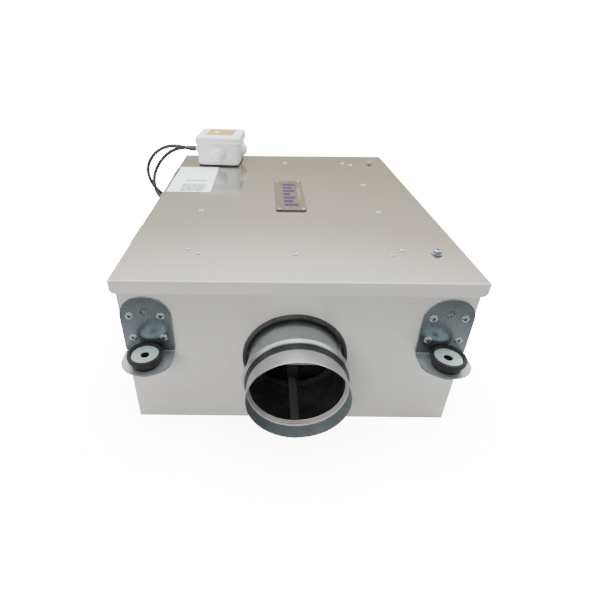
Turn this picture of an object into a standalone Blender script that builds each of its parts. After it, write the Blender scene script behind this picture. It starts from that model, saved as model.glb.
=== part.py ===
"""In-line heat recovery unit for one 125 mm round duct, modelled as its separate pieces.

Frame: metres, +Z up, origin at the centre of the casing's underside. The front spigot points along -Y,
the rear one along +Y. Air is drawn one way and then the other through a ceramic core, which stores
its heat, by one reversing axial fan with a filter on each side.
"""

import math

import bmesh
import bpy
from mathutils import Matrix, Vector

GAP = 0.0003
SHEET = 0.001
ROUND = 32

BODY_W = 0.448
BODY_L = 0.561
BODY_TOP = 0.2325
TOTAL_H = 0.238
LID_W = 0.460
LID_L = 0.570
LID_SKIRT = 0.019
SKIRT_CORNER = 0.007
WALL_Y = BODY_L / 2
LIP = 0.015

DUCT_R = 0.0625
DUCT_Z = 0.118
SPIGOT_LENGTH = 0.080
SEAL_R = 0.070

FLOOR_FOAM = 0.012
SIDE_FOAM = 0.0144
END_FOAM = 0.0132
FOAM_X = 0.2208
FOAM_Y = 0.2635
INNER_X = FOAM_X - SIDE_FOAM
FLOOR_TOP = SHEET + GAP + FLOOR_FOAM
RAIL_X = 0.0065
RAIL_W = 0.018

BRACKET_X = 0.1915
BRACKET_W = 0.065
BRACKET_Z = 0.126
BRACKET_TOP = 0.213
BRACKET_REACH = 0.048
BRACKET_SHEET = 0.0025
BRACKET_CORNER = 0.030
RIVET_SPACING_X = 0.0395
RIVET_ROWS_Z = (0.1505, 0.185)
HANGING_HOLE_Z = 0.1915
MOUNT_REACH = 0.026
MOUNT_TOP = 0.1448
MOUNT_R = 0.0222
DISC_R = 0.0174
ROD_R = 0.0053
NECK_R = 0.0115

PAN_LOW = (-0.160, -0.226)
PAN_HIGH = (0.160, 0.237)
PAN_FLANGE = 0.024
PAN_DEPTH = 0.0142
PAN_BOTTOM = TOTAL_H - SHEET - GAP - PAN_DEPTH
LID_RIVETS = (
    (0.0, -0.213), (0.130, -0.213), (-0.130, -0.213), (0.147, -0.200), (-0.147, -0.200),
    (0.147, -0.063), (-0.147, -0.063), (0.149, 0.075), (0.132, 0.224), (0.148, 0.211), (0.003, 0.224),
)
SCREW_X = 0.191
SCREW_YS = (-0.209, 0.218)
SCREW_R = 0.003
TAB_Z = 0.2188

HINGE_X = -0.2335
HINGE_Z = 0.215
HINGE_YS = (-0.150, 0.150)
HINGE_L = 0.060
KNUCKLE_R = 0.0032
PIN_R = 0.0015
LEAF = 0.0015

PLATE_CENTRE = (0.0025, 0.013)
PLATE_SIZE = (0.052, 0.152)
PLATE_T = 0.002

BOX_X = -0.140
BOX_Y = 0.236
BOX_TURN = math.radians(-5)
BOX_BASE_Z = TOTAL_H + 0.0023
BOX_RIM_Z = TOTAL_H + 0.049
BOX_TOP_Z = TOTAL_H + 0.062
BOX_BOTTOM_W = 0.090
BOX_RIM_W = 0.093
BOX_WALL = 0.0022
COVER_W = 0.098
COVER_H = 0.015
ENTRY_Z = TOTAL_H + 0.029
ENTRY_FACE = BOX_BOTTOM_W / 2 + 0.0018
ENTRY_R = 0.018
ENTRY_LENGTH = 0.011

CABLE_R = 0.0035
GLAND_X = -BODY_W / 2 - GAP
GLAND_Z = 0.143
GLAND_YS = (0.238, 0.214)
GLAND_LENGTH = 0.018
# Each route leaves the junction box level, bows out past the lid's edge and turns back into its gland.
CABLE_A_ROUTE = (
    (-0.1986, 0.2374, 0.2632), (-0.2115, 0.2383, 0.2645), (-0.2280, 0.2384, 0.2682),
    (-0.2459, 0.2378, 0.2703), (-0.2640, 0.2370, 0.2685), (-0.2800, 0.2366, 0.2618),
    (-0.2930, 0.2365, 0.2520), (-0.3030, 0.2365, 0.2400), (-0.3100, 0.2367, 0.2262),
    (-0.3127, 0.2370, 0.2115), (-0.3110, 0.2374, 0.1960), (-0.3060, 0.2378, 0.1820),
    (-0.2978, 0.2380, 0.1692), (-0.2855, 0.2381, 0.1572), (-0.2655, 0.2380, 0.1458),
    (-0.2431, 0.2380, 0.1430),
)
CABLE_B_ROUTE = (
    (-0.1980, 0.2450, 0.2653), (-0.2115, 0.2459, 0.2655), (-0.2270, 0.2458, 0.2645),
    (-0.2431, 0.2445, 0.2619), (-0.2600, 0.2425, 0.2545), (-0.2757, 0.2395, 0.2415),
    (-0.2870, 0.2350, 0.2270), (-0.2945, 0.2300, 0.2120), (-0.2979, 0.2255, 0.1965),
    (-0.2968, 0.2215, 0.1800), (-0.2905, 0.2180, 0.1640), (-0.2790, 0.2155, 0.1520),
    (-0.2620, 0.2143, 0.1446), (-0.2430, 0.2140, 0.1430),
)

FRONT_BULKHEAD_Y = -0.161
FAN_BULKHEAD_Y = -0.008
REAR_BULKHEAD_Y = 0.130
BULKHEAD_TOP = 0.2205
POCKET_X = 0.117
POCKET_DEPTH = 0.031
WINDOW_W = 0.160
FILTER_W = 0.231
FILTER_H = 0.200
FILTER_T = 0.024
FILTER_BORDER = 0.012
PLEATS = 22

CORE_W = 0.168
CORE_H = 0.160
CORE_L = 0.1485
CORE_CELLS = 7
CORE_WALL = 0.0035

FAN_HALF = 0.084
FAN_DEPTH = 0.051
FAN_RING_R = 0.0745
FAN_RING_WALL = 0.003
FAN_FLANGE = 0.004
FAN_SCREW = 0.0725
FAN_FRONT_Y = FAN_BULKHEAD_Y + SHEET / 2 + GAP
HUB_R = 0.036
HUB_WALL = 0.0025
BLADE_TIP_R = 0.0722
BLADES = 7
BLADE_TWIST = math.radians(38)
SHAFT_R = 0.003

ZINC = ((0.62, 0.60, 0.57), 0.32, 0.9)
BLUE_ZINC = ((0.50, 0.56, 0.58), 0.25, 1.0)
RUBBER = ((0.015, 0.015, 0.016), 0.6, 0.0)
FOAM = ((0.02, 0.02, 0.022), 0.95, 0.0)
PLASTIC = ((0.78, 0.79, 0.78), 0.45, 0.0)
BLACK_PLASTIC = ((0.03, 0.03, 0.03), 0.4, 0.0)
PAPER = ((0.88, 0.92, 0.92), 0.4, 0.0)
CERAMIC = ((0.78, 0.72, 0.62), 0.8, 0.0)
FILTER_WEB = ((0.86, 0.87, 0.85), 0.95, 0.0)
STEEL = ((0.72, 0.73, 0.74), 0.22, 1.0)


def collection(name):
    made = bpy.data.collections.new(name)
    bpy.context.scene.collection.children.link(made)
    return made


def clear_scene():
    for old in list(bpy.data.objects):
        bpy.data.objects.remove(old, do_unlink=True)


def add(name, data, look, location=(0, 0, 0), rotation=(0, 0, 0)):
    """A sub-part of the unit, with a material of its own; a cutter when it has no look."""
    piece = bpy.data.objects.new(name, data)
    piece.location = location
    piece.rotation_euler = rotation
    if look is None:
        CUTTERS.objects.link(piece)
        piece.hide_render = True
        piece.display_type = "WIRE"
        return piece
    UNIT.objects.link(piece)
    colour, roughness, metallic = look
    finish = bpy.data.materials.new(f"{name}_finish")
    finish.use_nodes = True
    shader = finish.node_tree.nodes["Principled BSDF"]
    shader.inputs["Base Color"].default_value = (*colour, 1.0)
    shader.inputs["Roughness"].default_value = roughness
    shader.inputs["Metallic"].default_value = metallic
    piece.data.materials.append(finish)
    return piece


def smooth(piece):
    piece.data.shade_smooth()
    piece.data.set_sharp_from_angle(angle=math.radians(35))


def solids(name, look, boxes=(), rods=(), origin=None):
    """Boxes (low corner, high corner) and rods (start, end, radius, sides) as one mesh of closed solids."""
    shape = bmesh.new()
    for low, high in boxes:
        low, high = Vector(low), Vector(high)
        size = Matrix.Diagonal((*(high - low), 1.0))
        bmesh.ops.create_cube(shape, size=1.0, matrix=Matrix.Translation((low + high) / 2) @ size)
    for start, end, radius, sides in rods:
        start, end = Vector(start), Vector(end)
        turn = (end - start).to_track_quat("Z", "Y").to_matrix().to_4x4()
        bmesh.ops.create_cone(
            shape, cap_ends=True, segments=sides, radius1=radius, radius2=radius,
            depth=(end - start).length, matrix=Matrix.Translation((start + end) / 2) @ turn,
        )
    if origin is None:
        corners = [Vector(pick(v.co[axis] for v in shape.verts) for axis in range(3)) for pick in (min, max)]
        origin = (corners[0] + corners[1]) / 2
    bmesh.ops.translate(shape, verts=shape.verts, vec=-Vector(origin))
    mesh = bpy.data.meshes.new(name)
    shape.to_mesh(mesh)
    shape.free()
    piece = add(name, mesh, look, origin)
    if rods:
        smooth(piece)
    return piece


def combine(piece, helper, operation):
    """Cuts the helper from the piece (DIFFERENCE) or joins it on (UNION)."""
    step = piece.modifiers.new(helper.name, "BOOLEAN")
    step.operation = operation
    step.object = helper
    step.solver = "EXACT"


def open_box(name, look, low, high, open_side, wall, edge_round=0.0, segments=2):
    """A sheet or moulded box without the side that open_side points to. Its outer faces keep their size."""
    low, high = Vector(low), Vector(high)
    centre = (low + high) / 2
    shape = bmesh.new()
    bmesh.ops.create_cube(shape, size=1.0, matrix=Matrix.Diagonal((*(high - low), 1.0)))
    lost = [face for face in shape.faces if face.normal.dot(Vector(open_side)) > 0.5]
    bmesh.ops.delete(shape, geom=lost, context="FACES")
    if edge_round:
        folds = [edge for edge in shape.edges if not edge.is_boundary]
        bmesh.ops.bevel(shape, geom=folds, offset=edge_round, segments=segments, profile=0.5, affect="EDGES")
    mesh = bpy.data.meshes.new(name)
    shape.to_mesh(mesh)
    shape.free()
    piece = add(name, mesh, look, centre)
    thicken(piece, wall)
    smooth(piece)
    return piece


def thicken(piece, wall):
    """Gives an open surface its wall, on the side its faces point away from."""
    step = piece.modifiers.new("wall", "SOLIDIFY")
    step.thickness = wall
    step.offset = -1.0
    step.use_even_offset = True


def arc(centre_x, centre_y, radius, start, end, steps):
    """Points along an arc, angles in degrees."""
    turns = [math.radians(start + (end - start) * step / steps) for step in range(steps + 1)]
    return [(centre_x + radius * math.cos(turn), centre_y + radius * math.sin(turn)) for turn in turns]


def ring(radius, sides, centre=(0.0, 0.0)):
    return arc(*centre, radius, 0, 360 * (sides - 1) / sides, sides - 1)


def rectangle(width, height, radius=0.0, steps=3, centre=(0.0, 0.0)):
    """A rectangle's outline, its corners rounded where a radius is given."""
    x, y = width / 2 - radius, height / 2 - radius
    cx, cy = centre
    if not radius:
        return [(cx + x, cy + y), (cx - x, cy + y), (cx - x, cy - y), (cx + x, cy - y)]
    corners = ((x, y, 0), (-x, y, 90), (-x, -y, 180), (x, -y, 270))
    return [p for px, py, turn in corners for p in arc(cx + px, cy + py, radius, turn, turn + 90, steps)]


PLANES = {"XY": (0, 0, 0), "XZ": (math.pi / 2, 0, 0), "YZ": (math.pi / 2, 0, math.pi / 2)}


def outline(name, look, loops, thickness, plane, centre):
    """A flat plate between closed outlines, the first its edge and the rest its holes, centred on centre."""
    curve = bpy.data.curves.new(name, "CURVE")
    curve.dimensions = "2D"
    curve.fill_mode = "BOTH"
    curve.extrude = thickness / 2
    for loop in loops:
        spline = curve.splines.new("POLY")
        spline.points.add(len(loop) - 1)
        for point, (x, y) in zip(spline.points, loop):
            point.co = (x, y, 0.0, 1.0)
        spline.use_cyclic_u = True
    return add(name, curve, look, centre, PLANES[plane])


def as_mesh(piece):
    """The mesh that a curve piece makes, its caps welded to its sides, so that a Boolean can use it."""
    bpy.context.view_layer.update()
    graph = bpy.context.evaluated_depsgraph_get()
    mesh = bpy.data.meshes.new_from_object(piece.evaluated_get(graph))
    shape = bmesh.new()
    shape.from_mesh(mesh)
    bmesh.ops.remove_doubles(shape, verts=shape.verts, dist=0.00001)
    bmesh.ops.dissolve_limit(shape, angle_limit=0.001, verts=shape.verts, edges=shape.edges)
    bmesh.ops.recalc_face_normals(shape, faces=shape.faces)
    shape.to_mesh(mesh)
    shape.free()
    name, home = piece.name, piece.users_collection[0]
    hidden = piece.hide_render
    place = piece.matrix_world.copy()
    bpy.data.objects.remove(piece, do_unlink=True)
    made = bpy.data.objects.new(name, mesh)
    home.objects.link(made)
    made.matrix_world = place
    made.hide_render = hidden
    if hidden:
        made.display_type = "WIRE"
    return made


def turned(name, look, profile, sides, centre, direction, wall=None):
    """A profile of (radius, height) turned about the line from centre along direction.

    The profile runs down the outer side. With a wall it is an open line that Solidify thickens.
    """
    mesh = bpy.data.meshes.new(name)
    count = len(profile)
    closed = wall is None and profile[0][0] > 0
    edges = [(step, (step + 1) % count) for step in range(count if closed else count - 1)]
    mesh.from_pydata([(radius, 0.0, height) for radius, height in profile], edges, [])
    piece = add(name, mesh, look, centre)
    piece.rotation_euler = Vector(direction).to_track_quat("Z", "Y").to_euler()
    step = piece.modifiers.new("turn", "SCREW")
    step.axis = "Z"
    step.steps = sides
    step.render_steps = sides
    step.use_merge_vertices = True
    step.merge_threshold = 0.00002
    step.use_smooth_shade = True
    if wall:
        thicken(piece, wall)
    return piece


def turned_cutters(name, profile, sides, places):
    """The same turned shape at several (centre, direction) places, to be joined to or cut from a piece."""
    master = turned(f"{name}_master", None, profile, sides, (0, 0, 0), (0, 0, 1))
    bpy.context.view_layer.update()
    graph = bpy.context.evaluated_depsgraph_get()
    mesh = bpy.data.meshes.new_from_object(master.evaluated_get(graph))
    bpy.data.objects.remove(master, do_unlink=True)
    shape = bmesh.new()
    for centre, direction in places:
        turn = Vector(direction).to_track_quat("Z", "Y").to_matrix().to_4x4()
        one = mesh.copy()
        one.transform(Matrix.Translation(centre) @ turn)
        shape.from_mesh(one)
        bpy.data.meshes.remove(one)
    group = bpy.data.meshes.new(name)
    shape.to_mesh(group)
    shape.free()
    return add(name, group, None)


def dome_rivet(head_r, shank_r, head_h, grip):
    """A blind rivet's outline: its head's underside sits just inside the sheet that it is joined to."""
    sunk = -0.0002
    return [
        (0, head_h), (head_r * 0.62, head_h * 0.8), (head_r, sunk),
        (shank_r, sunk), (shank_r, -grip), (0, -grip),
    ]


def build_casing():
    half = BODY_W / 2
    lip = half - LIP
    lid_side = BODY_TOP - SHEET
    section = [
        (-half, 0), (half, 0), (half, BODY_TOP), (lip, BODY_TOP), (lip, lid_side), (half - SHEET, lid_side),
        (half - SHEET, SHEET), (SHEET - half, SHEET), (SHEET - half, lid_side), (-lip, lid_side),
        (-lip, BODY_TOP), (-half, BODY_TOP),
    ]
    length = BODY_L - 2 * (SHEET + GAP)
    tray = as_mesh(outline("casing_tray", ZINC, [section], length, "XZ", (0, 0, 0)))
    tab_root = half - SHEET / 2
    leg = 0.0012
    angle = [
        (0.176, TAB_Z), (tab_root - leg - SHEET, TAB_Z), (tab_root - leg - SHEET, 0.190), (tab_root, 0.190),
        (tab_root, TAB_Z + leg), (0.176, TAB_Z + leg),
    ]
    drills = [((-half - 0.01, y, GLAND_Z), (-half + 0.01, y, GLAND_Z), 0.0078, 12) for y in GLAND_YS]
    for index, y in enumerate(SCREW_YS):
        tab = as_mesh(outline(f"screw_tab_{index}", None, [angle], 0.030, "XZ", (0, y, 0)))
        combine(tray, tab, "UNION")
        drills.append(((SCREW_X, y, TAB_Z - 0.02), (SCREW_X, y, TAB_Z + 0.01), SCREW_R + 0.0012, 16))
    nuts = [((SCREW_X, y, TAB_Z - 0.009), (SCREW_X, y, TAB_Z + leg / 2), 0.0065, 16) for y in SCREW_YS]
    combine(tray, solids("rivet_nuts", None, (), nuts), "UNION")
    notch_x = half - SHEET - GAP / 2
    notches = [
        ((-notch_x, side * (WALL_Y - 0.008) - 0.0085, lid_side - GAP),
         (notch_x, side * (WALL_Y - 0.008) + 0.0085, BODY_TOP + SHEET))
        for side in (-1, 1)
    ]
    combine(tray, solids("tray_cutters", None, notches, drills), "DIFFERENCE")
    for side, word in ((-1, "front"), (1, "rear")):
        build_end_wall(word, side)


def bracket_rivet_points(side):
    return [
        (corner * BRACKET_X + step * RIVET_SPACING_X / 2, side * WALL_Y, z)
        for corner in (-1, 1) for step in (-1, 1) for z in RIVET_ROWS_Z
    ]


def build_end_wall(word, side):
    """An end plate over the tray's end, with flanges inside the tray and holes for spigot and rivets."""
    flange_x = BODY_W / 2 - SHEET - GAP
    inner = side * (WALL_Y - 0.016)
    buried = side * (WALL_Y - 0.0001)
    low = (-flange_x, min(inner, buried), SHEET + GAP)
    high = (flange_x, max(inner, buried), BODY_TOP - 0.0001)
    wall = open_box(f"{word}_wall", ZINC, low, high, (0, -side, 0), SHEET)
    back = side * (WALL_Y - SHEET)
    plate_low = (-BODY_W / 2, min(back, side * WALL_Y), 0)
    plate_high = (BODY_W / 2, max(back, side * WALL_Y), BODY_TOP)
    combine(wall, solids(f"{word}_plate", None, [(plate_low, plate_high)]), "UNION")
    drills = [
        ((x, y - 0.006, z), (x, y + 0.006, z), 0.0028, 6) for x, y, z in bracket_rivet_points(side)
    ]
    y = side * WALL_Y
    drills.append(((0, y - 0.006, DUCT_Z), (0, y + 0.006, DUCT_Z), DUCT_R + 0.0027, ROUND))
    combine(wall, solids(f"{word}_wall_drills", None, (), drills), "DIFFERENCE")


def build_spigot(word, side):
    """A rolled sleeve with a flange inside the wall, one stop bead and a rim turned in a little."""
    tip = SPIGOT_LENGTH
    profile = [
        (0.0616, tip), (DUCT_R, tip - 0.0012), (DUCT_R, 0.0530), (0.0670, 0.0480), (0.0670, 0.0445),
        (DUCT_R, 0.0390), (DUCT_R, -0.0016), (0.0735, -0.0016),
    ]
    centre = (0, side * WALL_Y, DUCT_Z)
    turned(f"{word}_spigot", BLUE_ZINC, profile, ROUND, centre, (0, side, 0), wall=0.0008)
    inner = DUCT_R + GAP
    seal = [
        (SEAL_R, 0.0056), (SEAL_R, GAP), (DUCT_R + 0.0022, GAP), (DUCT_R + 0.0022, -SHEET), (inner, -SHEET),
        (inner, 0.0056),
    ]
    turned(f"{word}_spigot_seal", RUBBER, seal, ROUND, centre, (0, side, 0))


def build_bracket(word, hand, side, corner):
    """An arched plate riveted to the wall, with a shelf for the rubber mount."""
    name = f"bracket_{word}_{hand}"
    x = corner * BRACKET_X
    face_y = WALL_Y + GAP
    half = BRACKET_W / 2
    height = BRACKET_TOP - BRACKET_Z
    arch = [(-half, 0), (half, 0)]
    arch += arc(half - BRACKET_CORNER, height - BRACKET_CORNER, BRACKET_CORNER, 0, 90, 6)
    arch += arc(BRACKET_CORNER - half, height - BRACKET_CORNER, BRACKET_CORNER, 90, 180, 6)
    hanging = ring(0.0055, 12, (0, HANGING_HOLE_Z - BRACKET_Z))
    plate_y = side * (face_y + BRACKET_SHEET / 2)
    plate = as_mesh(outline(name, BLUE_ZINC, [arch, hanging], BRACKET_SHEET, "XZ", (x, plate_y, BRACKET_Z)))
    straight = BRACKET_REACH - half * 0.8
    shelf = [(-half, 0.0004), (-half, straight)]
    shelf += [(px, straight + (py * 0.8)) for px, py in reversed(arc(0, 0, half, 8, 172, 10))]
    shelf += [(half, straight), (half, 0.0004)]
    shelf = [(px, side * py) for px, py in shelf]
    neck = ring(NECK_R + 2 * GAP, 16, (0, side * MOUNT_REACH))
    centre = (x, side * face_y, BRACKET_Z + BRACKET_SHEET / 2)
    tongue = as_mesh(outline(f"{name}_shelf", None, [shelf, neck], BRACKET_SHEET - 0.0001, "XY", centre))
    combine(plate, tongue, "UNION")
    front = side * (face_y + BRACKET_SHEET)
    heads = [((px, front, pz), (0, side, 0)) for px, _, pz in bracket_rivet_points(side) if px * corner > 0]
    rivets = turned_cutters(f"{name}_rivets", dome_rivet(0.0054, 0.0023, 0.0017, 0.0052), 6, heads)
    combine(plate, rivets, "UNION")


def build_mount(word, hand, side, corner):
    """A rubber grommet through the bracket's shelf and its steel disc, both open for the hanging rod."""
    shelf_top = BRACKET_Z + BRACKET_SHEET + GAP
    shelf_under = BRACKET_Z - GAP
    top = MOUNT_TOP - shelf_top
    under = shelf_under - shelf_top
    seat = top - 0.0022
    profile = [
        (DISC_R + GAP, top), (MOUNT_R, top), (MOUNT_R - 0.001, top - 0.006), (0.0178, 0), (NECK_R, 0),
        (NECK_R, under), (0.0178, under), (0.0165, under - 0.006), (ROD_R, under - 0.006), (ROD_R, seat),
        (DISC_R + GAP, seat),
    ]
    centre = (corner * BRACKET_X, side * (WALL_Y + MOUNT_REACH), shelf_top)
    turned(f"rubber_mount_{word}_{hand}", RUBBER, profile, 16, centre, (0, 0, 1))
    disc = [(DISC_R, 0.0016), (DISC_R, 0), (ROD_R, 0), (ROD_R, 0.0016)]
    place = (centre[0], centre[1], shelf_top + seat + GAP)
    turned(f"mount_disc_{word}_{hand}", BLUE_ZINC, disc, 16, place, (0, 0, 1))


def build_hangers():
    for side, word in ((-1, "front"), (1, "rear")):
        build_spigot(word, side)
        for corner, hand in ((-1, "left"), (1, "right")):
            build_bracket(word, hand, side, corner)
            build_mount(word, hand, side, corner)


def build_linings():
    """Black foam on the floor, sides and ends, and the bare rail between the floor pads."""
    base = SHEET + GAP
    rail_low = RAIL_X - RAIL_W / 2
    rail_high = RAIL_X + RAIL_W / 2
    slabs = {
        "floor_foam_left": ((-FOAM_X, -FOAM_Y, base), (rail_low - 0.0005, FOAM_Y, FLOOR_TOP)),
        "floor_foam_right": ((rail_high + 0.0005, -FOAM_Y, base), (FOAM_X, FOAM_Y, FLOOR_TOP)),
        "side_foam_left": ((-FOAM_X, -FOAM_Y, FLOOR_TOP + GAP), (-INNER_X, FOAM_Y, 0.2165)),
        "side_foam_right": ((INNER_X, -FOAM_Y, FLOOR_TOP + GAP), (FOAM_X, FOAM_Y, 0.2165)),
    }
    for name, corners in slabs.items():
        solids(name, FOAM, [corners])
    half = RAIL_W / 2
    web = FLOOR_FOAM - SHEET
    channel = [
        (-half, 0), (SHEET - half, 0), (SHEET - half, web), (half - SHEET, web),
        (half - SHEET, 0), (half, 0), (half, FLOOR_FOAM), (-half, FLOOR_FOAM),
    ]
    outline("floor_rail", ZINC, [channel], 2 * FOAM_Y, "XZ", (RAIL_X, 0, base))
    bottom = base + SHEET + GAP
    height = 0.2300 - bottom
    slab = rectangle(2 * FOAM_X, height, centre=(0, height / 2))
    duct = ring(DUCT_R - 0.001, 32, (0, DUCT_Z - bottom))
    for side, word in ((-1, "front"), (1, "rear")):
        middle = side * (WALL_Y - 0.0032 - END_FOAM / 2)
        outline(f"{word}_end_foam", FOAM, [slab, duct], END_FOAM, "XZ", (0, middle, bottom))


def build_bulkheads():
    """Cross walls that hold the filters, the core and the fan. Each leaves its pocket open at the top."""
    low, high = FLOOR_TOP + GAP, BULKHEAD_TOP
    height = high - low
    middle = (low + high) / 2
    half = SHEET / 2
    wing = INNER_X - GAP
    for word, y, side in (("front", FRONT_BULKHEAD_Y, -1), ("rear", REAR_BULKHEAD_Y, 1)):
        wall = solids(f"bulkhead_{word}", ZINC, [((-wing, y - half, low), (wing, y + half, high))])
        ends = sorted((y, y + side * POCKET_DEPTH))
        cheeks = [
            ((edge - half, ends[0], low + 0.0001), (edge + half, ends[1], high - 0.0001))
            for edge in (-POCKET_X - half, POCKET_X + half)
        ]
        combine(wall, solids(f"{word}_cheeks", None, cheeks), "UNION")
        window = ((-WINDOW_W / 2, y - 0.005, DUCT_Z - 0.076), (WINDOW_W / 2, y + 0.005, DUCT_Z + 0.076))
        combine(wall, solids(f"{word}_window", None, [window]), "DIFFERENCE")
    across = rectangle(2 * wing, height)
    drop = DUCT_Z - middle
    throat = ring(FAN_RING_R, 32, (0, drop))
    bolts = [ring(0.0025, 8, (sx * FAN_SCREW, drop + sz * FAN_SCREW)) for sx in (-1, 1) for sz in (-1, 1)]
    outline("fan_bulkhead", ZINC, [across, throat, *bolts], SHEET, "XZ", (0, FAN_BULKHEAD_Y, middle))


def build_filters():
    """A pleated filter in a card frame on each side of the core and fan."""
    bottom = FLOOR_TOP + 2 * GAP
    centre_z = bottom + FILTER_H / 2
    for word, y, side in (("front", FRONT_BULKHEAD_Y, -1), ("rear", REAR_BULKHEAD_Y, 1)):
        centre_y = y + side * (SHEET / 2 + GAP + FILTER_T / 2)
        inner_w = FILTER_W - 2 * FILTER_BORDER
        inner_h = FILTER_H - 2 * FILTER_BORDER
        frame = [rectangle(FILTER_W, FILTER_H), rectangle(inner_w, inner_h)]
        outline(f"{word}_filter_frame", PAPER, frame, FILTER_T, "XZ", (0, centre_y, centre_z))
        pitch = (inner_w - 4 * GAP) / PLEATS
        start = -pitch * PLEATS / 2
        depth = FILTER_T * 0.38
        crest = [(start + pitch * step / 2, depth if step % 2 else -depth) for step in range(2 * PLEATS + 1)]
        pleats = crest + [(x, y_fold + 0.0012) for x, y_fold in reversed(crest)]
        outline(
            f"{word}_filter_media", FILTER_WEB, [pleats], inner_h - 2 * GAP, "XY", (0, centre_y, centre_z)
        )


def build_core():
    """The ceramic honeycomb block and the open-topped channel it is lifted out of."""
    pitch_x = (CORE_W - CORE_WALL) / CORE_CELLS
    pitch_z = (CORE_H - CORE_WALL) / CORE_CELLS
    middle = (CORE_CELLS - 1) / 2
    cells = [
        rectangle(pitch_x - CORE_WALL, pitch_z - CORE_WALL,
                  centre=((column - middle) * pitch_x, (row - middle) * pitch_z))
        for column in range(CORE_CELLS) for row in range(CORE_CELLS)
    ]
    centre_y = (FRONT_BULKHEAD_Y + FAN_BULKHEAD_Y) / 2
    outline(
        "ceramic_core", CERAMIC, [rectangle(CORE_W, CORE_H), *cells], CORE_L, "XZ", (0, centre_y, DUCT_Z)
    )
    inner = CORE_W / 2 + GAP
    outer = inner + 0.0015
    under = -CORE_H / 2 - GAP
    lift = CORE_H / 2 + 0.014
    channel = [
        (-outer, under - 0.0015), (outer, under - 0.0015), (outer, lift), (inner, lift), (inner, under),
        (-inner, under), (-inner, lift), (-outer, lift),
    ]
    outline("core_housing", ZINC, [channel], CORE_L + 0.0020, "XZ", (0, centre_y, DUCT_Z))


def build_fan():
    """The reversing axial fan: a ringed frame, a stator on three arms and a cup-shaped rotor."""
    centre = Vector((0, FAN_FRONT_Y, DUCT_Z))
    along = (0, 1, 0)
    wall = FAN_RING_R + FAN_RING_WALL
    near, far = 0.0005, FAN_DEPTH - 0.0005
    ring_profile = [(wall, far), (wall, near), (FAN_RING_R, near), (FAN_RING_R, far)]
    frame = turned("fan_housing", BLACK_PLASTIC, ring_profile, 24, centre, along)
    bolts = [ring(0.0025, 8, (sx * FAN_SCREW, sz * FAN_SCREW)) for sx in (-1, 1) for sz in (-1, 1)]
    throat = ring(FAN_RING_R + FAN_RING_WALL / 2, 24)
    for word, y in (("front", FAN_FLANGE / 2), ("rear", FAN_DEPTH - FAN_FLANGE / 2)):
        square = rectangle(2 * FAN_HALF, 2 * FAN_HALF, 0.006)
        place = centre + Vector((0, y, 0))
        flange = outline(f"fan_{word}_flange", None, [square, throat, *bolts], FAN_FLANGE, "XZ", place)
        combine(frame, as_mesh(flange), "UNION")

    plate_y = FAN_DEPTH - 0.0095
    bore = SHAFT_R + GAP
    stator = [
        (0.0330, FAN_DEPTH - 0.002), (0.0330, plate_y), (0.0300, plate_y), (0.0300, 0.010), (bore, 0.010),
        (bore, FAN_DEPTH - 0.002),
    ]
    hub = turned("fan_stator", BLACK_PLASTIC, stator, 24, centre, along)
    reach = ((0.0320, plate_y + 0.001, -0.004), (FAN_RING_R - 0.0012, plate_y + 0.006, 0.004))
    arms = solids("stator_arms", None, [reach], origin=(0, 0, 0))
    arms.location = centre
    shape = bmesh.new()
    for turn in range(3):
        arm = arms.data.copy()
        arm.transform(Matrix.Rotation(math.radians(90 + 120 * turn), 4, "Y"))
        shape.from_mesh(arm)
        bpy.data.meshes.remove(arm)
    shape.to_mesh(arms.data)
    shape.free()
    combine(hub, arms, "UNION")

    cup = [
        (SHAFT_R + GAP, 0.0035), (HUB_R - 0.004, 0.0035), (HUB_R, 0.0075), (HUB_R, plate_y - 0.0015),
        (HUB_R - HUB_WALL, plate_y - 0.0015), (HUB_R - HUB_WALL, 0.0065), (SHAFT_R + GAP, 0.0065),
    ]
    cup = [(radius, height) for radius, height in reversed(cup)]
    rotor = turned("impeller", BLACK_PLASTIC, cup, 24, centre, along)
    combine(rotor, build_blades(centre), "UNION")
    rod = [((0, FAN_FRONT_Y + 0.0020, DUCT_Z), (0, FAN_FRONT_Y + FAN_DEPTH - 0.003, DUCT_Z), SHAFT_R, 12)]
    solids("fan_shaft", STEEL, (), rod, origin=centre)


def build_blades(centre):
    """Seven twisted blades that start inside the hub's wall."""
    root = HUB_R - HUB_WALL / 2
    span_steps = 3
    chord_steps = 2
    shape = bmesh.new()
    for blade in range(BLADES):
        made = bmesh.ops.create_grid(shape, x_segments=span_steps, y_segments=chord_steps, size=1.0)["verts"]
        for vert in made:
            along = (vert.co.x + 1) / 2
            radius = root + (BLADE_TIP_R - root) * along
            pitch = math.radians(62) - BLADE_TWIST * along
            chord = (0.013 + 0.006 * along) * vert.co.y
            camber = 0.0022 * (1 - vert.co.y ** 2)
            swing = chord * math.cos(pitch) + camber * math.sin(pitch)
            rise = 0.0215 + chord * math.sin(pitch) - camber * math.cos(pitch)
            turn = swing / radius + math.tau * blade / BLADES
            vert.co = (radius * math.cos(turn), rise, radius * math.sin(turn))
    mesh = bpy.data.meshes.new("impeller_blades")
    shape.to_mesh(mesh)
    shape.free()
    blades = add("impeller_blades", mesh, None, centre)
    step = blades.modifiers.new("wall", "SOLIDIFY")
    step.thickness = 0.0016
    step.offset = 0.0
    return blades


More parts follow.
